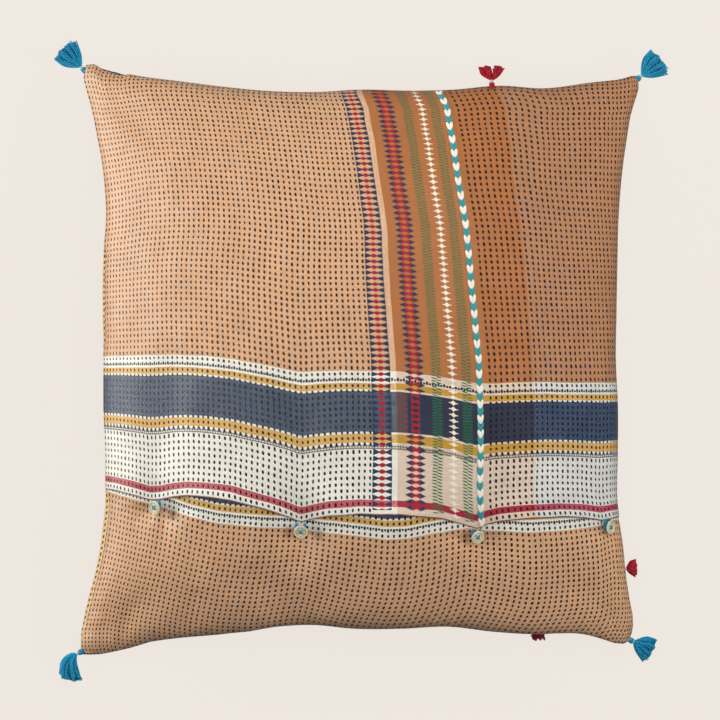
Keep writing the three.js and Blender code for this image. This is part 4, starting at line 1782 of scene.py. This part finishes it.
@dataclass
class ChainBraid:
    """The sewn-on braid: pairs of leaf-shaped stitches, white and teal by turns."""

    cloth_place: float = 362.4
    start: float = 0.5
    end: float = 389
    step: float = 6.5
    leaf_length: float = 4.4
    leaf_width: float = 1.6
    leaf_depth: float = 1.05
    spread: float = 13
    half_width: float = 1.15
    rise: float = 1.0
    samples: int = 800
    ahead: float = 2
    leaf_sides: int = 10
    leaf_rings: int = 8

    def build(self, sheet: UpperBackPanel) -> bpy.types.Object:
        """Lays the braid along its warp thread.

        Args:
            sheet: the panel that it is sewn on.

        Returns:
            The braid.
        """
        heights = np.linspace(self.start, self.end, self.samples)
        points, normals = sheet.on_cloth(self.cloth_place, heights)
        run = np.linalg.norm(np.diff(points, axis=0), axis=-1)
        walked = np.concatenate([[0], np.cumsum(run)])
        count = int(walked[-1] / self.step)
        bm = bmesh.new()
        for number in range(count):
            place = (number + 0.5) * walked[-1] / count
            spot = self.read(points, walked, place)
            along = self.read(points, walked, place + self.ahead) - spot
            if place + self.ahead > walked[-1]:
                along = spot - self.read(points, walked, place - self.ahead)
            out = self.read(normals, walked, place).normalized()
            self.stitch(bm, spot, along.normalized(), out, number % 2)
        finishes = [YarnFinish("braid_white", 0xF0EBDF, 0.2).material(),
                    YarnFinish("braid_teal", 0x3C979C, 0.3).material()]
        return add_piece("sewn_braid", bm, finishes, ["chain_braid"])

    def read(self, rows: np.ndarray, walked: np.ndarray, place: float) -> Vector:
        """Reads a row of three values at a distance along the braid."""
        return Vector([np.interp(place, walked, rows[:, axis]) for axis in range(3)])

    def stitch(self, bm: bmesh.types.BMesh, spot: Vector, along: Vector, out: Vector,
               slot: int) -> None:
        """Adds one pair of leaves that meet at their lower ends.

        Args:
            bm: the braid so far.
            spot: the stitch's middle in mm.
            along: the direction up the braid.
            out: the direction out of the cloth.
            slot: the material slot.
        """
        side = along.cross(out).normalized()
        for hand in (-1, 1):
            tilt = Matrix.Rotation(math.radians(-hand * self.spread), 3, out)
            length = tilt @ along
            width = out.cross(length)
            frame3 = Matrix((width * self.leaf_width, length * self.leaf_length,
                             out * self.leaf_depth)).transposed()
            middle = spot + side * hand * self.half_width + out * self.rise
            place = Matrix.Translation(middle * MM) @ (frame3 * MM).to_4x4()
            made = bmesh.ops.create_uvsphere(bm, u_segments=self.leaf_sides,
                                             v_segments=self.leaf_rings, radius=1, matrix=place)
            for vert in made["verts"]:
                for face in vert.link_faces:
                    face.material_index = slot


@dataclass(frozen=True)
class ButtonShape:
    """A four-hole button with a raised rim, in mm. Height 0 is its underside."""

    profile: Rows = (
        (0, 0), (4.9, 0), (5.7, 0.28), (6.08, 0.8), (6.15, 1.3), (5.98, 1.8), (5.6, 2.12),
        (5.15, 2.2), (4.75, 2.0), (4.5, 1.5), (4.25, 1.3), (3.95, 1.45), (3.72, 1.72),
        (3.5, 1.6), (3.25, 1.48), (2.9, 1.45), (0, 1.45),
    )
    steps: int = 56
    hole_radius: float = 0.85
    hole_spacing: float = 1.5
    hole_depth: float = 6
    hole_sides: int = 16
    closing: float = 0.001

    def holes(self) -> list[tuple[float, float]]:
        """Places of the four holes from the button's axis."""
        reach = self.hole_spacing
        return [(-reach, -reach), (reach, -reach), (reach, reach), (-reach, reach)]

    def disc(self) -> bpy.types.Object:
        """Turns the profile into the button's disc.

        Returns:
            A scratch object of the disc.
        """
        bm = bmesh.new()
        verts = [bm.verts.new((r * MM, 0, z * MM)) for r, z in self.profile]
        edges = [bm.edges.new(pair) for pair in zip(verts, verts[1:])]
        bmesh.ops.spin(bm, geom=verts + edges, cent=(0, 0, 0), axis=(0, 0, 1), dvec=(0, 0, 0),
                       angle=2 * math.pi, steps=self.steps, use_merge=True)
        bmesh.ops.remove_doubles(bm, verts=bm.verts, dist=self.closing * MM)
        bmesh.ops.recalc_face_normals(bm, faces=bm.faces)
        return put("disc", mesh_of("disc", bm))

    def cutter(self) -> bpy.types.Object:
        """Makes the four pins that cut the holes.

        Returns:
            A scratch object of the pins.
        """
        bm = bmesh.new()
        for x, y in self.holes():
            place = Matrix.Translation((x * MM, y * MM, 0))
            radius = self.hole_radius * MM
            bmesh.ops.create_cone(bm, cap_ends=True, segments=self.hole_sides, radius1=radius,
                                  radius2=radius, depth=self.hole_depth * MM, matrix=place)
        return put("pins", mesh_of("pins", bm))

    def mesh(self) -> bpy.types.Mesh:
        """Cuts the holes through the disc.

        Returns:
            The finished button at the origin.
        """
        disc = self.disc()
        pins = self.cutter()
        cut = disc.modifiers.new("holes", "BOOLEAN")
        cut.operation = "DIFFERENCE"
        cut.solver = "EXACT"
        cut.object = pins
        made = finished_mesh(disc)
        turned = made.attributes.new(TURNED_MARK, "FLOAT", "POINT")
        for vert in made.vertices:
            turned.data[vert.index].value = vert.co.xy.length / MM
        for scratch in (disc, pins):
            old = scratch.data
            bpy.data.objects.remove(scratch)
            bpy.data.meshes.remove(old)
        return made


@dataclass
class Fastening:
    """One button with its crossed thread, its shank and the loop that holds the hem to it."""

    number: int
    shape: ButtonShape = field(default_factory=ButtonShape)
    rise: float = 4.3
    thread_radius: float = 0.46
    shank_radius: float = 1.15
    loop_radius: float = 0.86
    loop_half_width: float = 3.6
    loop_height: float = 1.75
    ply_pitch: float = 4.2
    ply_share: float = 0.72
    half_height: float = 1.1
    crossings: tuple[tuple[float, float], ...] = ((45, 1.95), (-45, 2.35))
    strand_apart: float = 0.36
    strand_points: int = 25
    hole_ends: tuple[float, float] = (1.414, -0.8)
    hole_edges: tuple[float, float] = (1.40, 1.2)
    shoulders: tuple[float, float] = (1.1, -0.25)
    squeeze_reach: float = 2.1
    shank_turns: float = 5.5
    shank_flare: float = 0.35
    shank_ends: tuple[float, float] = (0.5, 0.9)
    shank_points: int = 90
    shank_yarn: float = 1.25
    core_ends: tuple[float, float] = (0.4, 0.2)
    loop_slack: float = 0.6
    loop_points: int = 120
    loop_lift: float = 0.3
    loop_bow: tuple[float, float] = (0.66, 0.75)

    def frame(self) -> Matrix:
        """The button's own frame, read from its CAD node.

        Returns:
            The matrix from button places in mm to the pillow's frame in metres.
        """
        low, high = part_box(f"button_{self.number}")
        middle = (Vector(low) + Vector(high)) / 2
        across, up = FORM.find(middle.x / MM, middle.y / MM)
        out = Vector(FORM.normal(across, up)[0])
        turn = Vector((0, 0, 1)).rotation_difference(out).to_matrix().to_4x4()
        foot = middle - out * self.half_height * MM
        return Matrix.Translation(foot) @ turn @ Matrix.Scale(MM, 4)

    def placed(self, mesh: bpy.types.Mesh) -> bmesh.types.BMesh:
        """Carries a mesh from the button's frame to its place.

        Args:
            mesh: the mesh. It is used up.

        Returns:
            The shape in the pillow's frame.
        """
        bm = gather([(mesh, 0)])
        bmesh.ops.transform(bm, matrix=self.frame() @ Matrix.Scale(1 / MM, 4), verts=bm.verts)
        return bm

    def cross(self) -> list[Strand]:
        """Doubled strands that cross over the button and go down through its holes."""
        reach = self.shape.hole_spacing
        count = self.strand_points
        strands = []
        for turn, top in self.crossings:
            shoulder = (self.shoulders[0], top + self.shoulders[1])
            half = [self.hole_ends, self.hole_edges, shoulder]
            outline = [(-reach * along, height) for along, height in half] + [(0, top)]
            outline += [(reach * along, height) for along, height in reversed(half)]
            angle = math.radians(turn)
            for side in (-self.strand_apart, self.strand_apart):
                points = []
                for along, height in outline:
                    nearness = math.cos(min(1, abs(along) / self.squeeze_reach) * math.pi / 2)
                    squeeze = side * (0.5 + 0.5 * nearness)
                    x = along * math.cos(angle) - squeeze * math.sin(angle)
                    y = along * math.sin(angle) + squeeze * math.cos(angle)
                    points.append((x, y, height))
                line = smooth_line(np.array(points), np.linspace(0, 1, count))
                strands.append(Strand(line, np.full(count, self.thread_radius)))
        return strands

    def shank(self) -> Strand:
        """Thread wound round the strands under the button."""
        share = np.linspace(0, 1, self.shank_points)
        angle = share * 2 * math.pi * self.shank_turns
        radius = self.shank_radius + self.shank_flare * np.cos(share * math.pi) ** 2
        height = -self.shank_ends[0] - share * (self.rise - self.shank_ends[1])
        points = np.stack([radius * np.cos(angle), radius * np.sin(angle), height], axis=-1)
        return Strand(points, np.full(self.shank_points, self.thread_radius * self.shank_yarn))

    def core(self) -> Strand:
        """Straight core of the shank."""
        points = np.array([(0, 0, -self.core_ends[0]), (0, 0, self.core_ends[1] - self.rise)])
        return Strand(points, np.full(2, self.shank_radius))

    def loop(self) -> list[Strand]:
        """Two plies of the cord that passes round the shank and ends in the hem."""
        low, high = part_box(f"button_loop_{self.number}")
        to_button = self.frame().inverted()
        ends = to_button @ Vector(((low[0] + high[0]) / 2, high[1], (low[2] + high[2]) / 2))
        reach = ends.y - self.loop_slack
        round_shank = self.shank_radius + self.loop_radius * 2 + self.loop_slack
        bow = (round_shank * self.loop_bow[0], -round_shank * self.loop_bow[1], 0)
        half = self.loop_half_width
        right = [bow, (round_shank, 0, 0), (half, reach * 0.5, 0), (half, reach, self.loop_lift)]
        left = [(-x, y, z) for x, y, z in reversed(right)]
        route = np.array(left + [(0, -round_shank, 0)] + right)
        line = smooth_line(route, np.linspace(0, 1, self.loop_points))
        line[:, 2] += self.loop_height - self.rise
        along = np.gradient(line, axis=0)
        run = np.cumsum(np.linalg.norm(along, axis=-1))
        along = along / np.linalg.norm(along, axis=-1, keepdims=True)
        side = np.cross(along, (0, 0, 1.0))
        plies = []
        for start in (0, math.pi):
            angle = (run / self.ply_pitch * 2 * math.pi + start)[:, None]
            offset = side * np.cos(angle) + np.array((0, 0, 1.0)) * np.sin(angle)
            points = line + offset * self.loop_radius * self.ply_share
            plies.append(Strand(points, np.full(len(points), self.loop_radius)))
        return plies

    def build(self, horn: bpy.types.Material, thread: bpy.types.Material) -> None:
        """Makes the button, its thread and its loop.

        Args:
            horn: the button's finish.
            thread: the thread's finish.
        """
        number = self.number
        crossed = strand_mesh("crossed_thread", self.cross() + [self.shank(), self.core()])
        looped = strand_mesh("cord_loop", self.loop())
        rows = (
            ("horn_button", self.shape.mesh(), horn, "button", "horn"),
            ("crossed_thread", crossed, thread, "button_thread", "teal_thread"),
            ("cord_loop", looped, thread, "button_loop", "teal_thread"),
        )
        for name, mesh, finish, node, slot in rows:
            add_piece(f"{name}_{number}", self.placed(mesh), [finish], [f"{node}_{number}"])


@dataclass
class Tassel:
    """A tassel: a wound knot, a neck bound with pale thread, and a skirt of cut yarn. In mm."""

    node: str
    place: tuple[float, float, float]
    turn: float
    dip: float
    long: float
    wide: float
    bend: float = 0
    split: float = 0
    strands: int = 110
    flatness: float = 0.55
    neck: float = 5.2
    bundles: int = 17
    bundle_size: float = 0.16
    yarn_radius: float = 0.56
    knot: tuple[tuple[float, ...], ...] = ((-2.2, 1.9, 2.0, 4, 0.72), (-2.4, 0.2, 1.0, 2, 0.8))
    binding_start: float = 1.9
    binding: tuple[float, float, float] = (1.0, 6, 0.32)
    core_radius: float = 0.95
    winding_points: int = 16
    winding_flare: float = 0.2
    lock_points: int = 13
    root: float = 0.8
    bundle_seed: float = 12.9898
    yarn_seed: float = 4.113
    seed_shares: tuple[float, float] = (0.7, 0.3)
    parting: tuple[float, float] = (0.6, 0.4)
    lengths: tuple[float, float, float] = (1.03, 0.1, 0.07)
    shoulder_reach: float = 1.25
    shoulder_power: float = 0.85
    opening: tuple[float, float, float] = (0.08, 0.72, 0.38)
    neck_share: float = 0.12
    aside_wave: tuple[float, float] = (0.9, 5)
    out_wave: tuple[float, float] = (0.3, 4)
    bend_power: float = 0.7
    tip_thinning: float = 0.25
    yarn_wave: tuple[float, float] = (0.1, 9)

    def frame(self) -> Matrix:
        """The tassel's own frame, with the skirt along its X.

        Returns:
            The matrix from tassel places to the pillow's frame, both in metres.
        """
        turn = Matrix.Rotation(math.radians(self.turn), 4, "Z")
        dip = Matrix.Rotation(math.radians(self.dip), 4, "Y")
        return Matrix.Translation(Vector(self.place) * MM) @ turn @ dip

    def winding(self, start: float, end: float, radius: float, turns: float,
                thickness: float) -> Strand:
        """Yarn wound round the tassel's axis.

        Args:
            start: where the winding starts along the axis.
            end: where it ends.
            radius: the winding's radius.
            turns: how often it goes round.
            thickness: the yarn's radius.

        Returns:
            The wound strand.
        """
        share = np.linspace(0, 1, int(self.winding_points * turns) + 1)
        angle = share * turns * 2 * math.pi
        flare = self.winding_flare
        swell = radius * (1 - flare + flare * np.sin(share * math.pi))
        points = np.stack([start + (end - start) * share, swell * np.cos(angle),
                           swell * np.sin(angle)], axis=-1)
        return Strand(points, np.full(len(share), thickness))

    def lock(self, number: int) -> Strand:
        """One yarn of the skirt, from inside the neck to its cut end.

        Args:
            number: which yarn, which decides its place in the skirt.

        Returns:
            The strand.
        """
        golden = math.pi * (3 - math.sqrt(5))
        bundle, member = number % self.bundles, number // self.bundles
        ring = math.sqrt((bundle + 0.5) / self.bundles)
        angle = bundle * golden
        wander = math.sin(bundle * self.bundle_seed) * self.seed_shares[0]
        wander += math.sin(number * self.yarn_seed) * self.seed_shares[1]
        apart = self.wide * self.bundle_size * math.sqrt((member + 0.5) * self.bundles / self.strands)
        aside = self.wide * ring * math.cos(angle) + apart * math.cos(member * golden)
        parting = self.parting[0] + self.parting[1] * ring
        aside += self.split * self.wide * math.copysign(1, math.cos(angle)) * parting
        out = self.wide * self.flatness * ring * math.sin(angle) + apart * math.sin(member * golden)
        middle, shorter, uneven = self.lengths
        skirt = (self.long - self.neck) * (middle - shorter * ring * ring + uneven * wander)
        share = np.linspace(0, 1, self.lock_points)
        shoulder = np.sin(np.minimum(1, share * self.shoulder_reach) * math.pi / 2)
        shoulder = shoulder**self.shoulder_power
        spread = self.opening[0] + self.opening[1] * shoulder + self.opening[2] * share
        wave = self.aside_wave[0] * np.sin(share * (self.aside_wave[1] + wander) + bundle) * share
        reach = skirt * share - self.root
        y = aside * spread + wave
        z = out * (self.neck_share + (1 - self.neck_share) * shoulder)
        curl = np.cos(share * (self.out_wave[1] + wander) + 2 * number)
        z = z + self.out_wave[0] * curl * share
        turn = np.radians(self.bend) * share**self.bend_power
        points = np.stack([self.neck + reach * np.cos(turn) - y * np.sin(turn),
                           reach * np.sin(turn) + y * np.cos(turn), z], axis=-1)
        uneven = self.yarn_wave[0] * np.sin(self.yarn_wave[1] * share + number)
        return Strand(points, self.yarn_radius * (1 - self.tip_thinning * share + uneven))

    def build(self, yarn: bpy.types.Material, pale: bpy.types.Material, slot: str) -> None:
        """Makes the tassel.

        Args:
            yarn: the skirt's finish.
            pale: the binding's finish.
            slot: the name of the skirt's material slot; not used.
        """
        yarns = [self.lock(number) for number in range(self.strands)]
        yarns += [self.winding(*row) for row in self.knot]
        core = np.array([(0, 0, 0), (self.neck, 0, 0)])
        binding = [self.winding(self.binding_start, self.neck, *self.binding),
                   Strand(core, np.full(2, self.core_radius))]
        bm = gather([(strand_mesh("yarns", yarns), 0), (strand_mesh("binding", binding), 1)])
        bmesh.ops.transform(bm, matrix=self.frame(), verts=bm.verts)
        add_piece(f"yarn_{self.node}", bm, [yarn, pale], [self.node])


@dataclass(frozen=True)
class Lamp:
    """A square soft lamp: where it hangs, its watts, and whether it shows in the cloth's gloss."""

    name: str
    place: tuple[float, float, float]
    power: float
    glossy: bool = False


@dataclass
class Studio:
    """Floor, lights and the light of the room."""

    floor_size: float = 6.0
    lamp_size: float = 0.8
    lamp_colour: tuple[float, float, float] = (1.0, 0.985, 0.96)
    lamps: tuple[Lamp, ...] = (
        Lamp("key_lamp", (-1.62, 0.36, 0.40), 27.2, True),
        Lamp("top_lamp", (0, 0.03, 1.7), 10.8),
        Lamp("side_lamp", (1.2, 0, 1.2), 11.8),
        Lamp("far_lamp", (0.72, 1.44, 0.58), 10.5),
    )
    aim: tuple[float, float, float] = (0, 0, 0.07)
    room: float = 0.1

    def floor(self) -> bpy.types.Object:
        """Makes the floor.

        Returns:
            The floor.
        """
        bm = bmesh.new()
        bmesh.ops.create_grid(bm, x_segments=1, y_segments=1, size=self.floor_size / 2)
        mesh = mesh_of("studio_floor", bm)
        mesh.materials.append(FloorFinish().material())
        floor = put("studio_floor", mesh)
        floor.visible_diffuse = False
        floor.visible_glossy = False
        return floor

    def hang(self, lamp: Lamp) -> None:
        """Hangs a lamp so that it faces the pillow.

        Args:
            lamp: the lamp.
        """
        data = bpy.data.lights.new(lamp.name, "AREA")
        data.size = self.lamp_size
        data.energy = lamp.power
        data.color = self.lamp_colour
        hung = put(lamp.name, data)
        hung.location = lamp.place
        hung.visible_glossy = lamp.glossy
        aim = Vector(self.aim) - Vector(lamp.place)
        hung.rotation_euler = aim.to_track_quat("-Z", "Y").to_euler()

    def build(self) -> None:
        """Sets up the studio and the plain colour view."""
        scene = bpy.context.scene
        scene.view_settings.view_transform = "Standard"
        scene.view_settings.look = "None"
        world = bpy.data.worlds.new("room")
        world.use_nodes = True
        air = world.node_tree.nodes["Background"]
        air.inputs["Strength"].default_value = self.room
        air.inputs["Color"].default_value = (1, 1, 1, 1)
        scene.world = world
        self.floor()
        for lamp in self.lamps:
            self.hang(lamp)


TASSELS = (
    Tassel("tassel_upper_left", (-243.4, 255.8, 38.5), 133, 6, 26.5, 11.5),
    Tassel("tassel_upper_right", (245.4, 248.2, 38.5), 38, 6, 26, 12),
    Tassel("tassel_lower_left", (-246.2, -257.4, 38), 206, 6, 28, 9.5, bend=52),
    Tassel("tassel_lower_right", (239.2, -247.4, 35), 331, 8, 21, 10.5, neck=3.6),
    Tassel("tassel_red_top", (116, 242, 76), 91, 12, 17, 8.5, split=0.2),
    Tassel("tassel_red_right", (230.6, -184, 39.5), 2, 10, 14, 7),
    Tassel("tassel_red_bottom", (157, -238.4, 40), 270, 66, 17, 5.5),
)


def main() -> None:
    """Builds the camera, the pieces and the studio, in that order."""
    logging.basicConfig(level=logging.INFO, format="%(name)s: %(message)s")
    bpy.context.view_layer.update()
    VIEW.camera()
    body = CushionBody().build()
    LOG.info("filled cushion: %d faces", len(body.data.polygons))
    sheet = UpperBackPanel()
    panel = sheet.build()
    LOG.info("upper back sheet: %d faces", len(panel.data.polygons))
    braid = ChainBraid().build(sheet)
    LOG.info("sewn braid: %d faces", len(braid.data.polygons))
    horn = HornFinish().material()
    thread = YarnFinish("teal_thread", 0x1A8EB8, 0.4).material()
    for number in range(1, 5):
        Fastening(number).build(horn, thread)
        LOG.info("fastening %d", number)
    pale = YarnFinish("pale_binding", 0xC9C2B6, 0.3).material()
    teal = YarnFinish("teal_yarn", 0x0490BA, 0.95).material()
    red = YarnFinish("red_yarn", 0xA80020, 0.8).material()
    for tassel in TASSELS:
        is_red = "red" in tassel.node
        tassel.build(red if is_red else teal, pale, "red_yarn" if is_red else "teal_yarn")
        LOG.info("%s: %d yarns", tassel.node, tassel.strands)
    Studio().build()


if __name__ == "__main__":
    main()
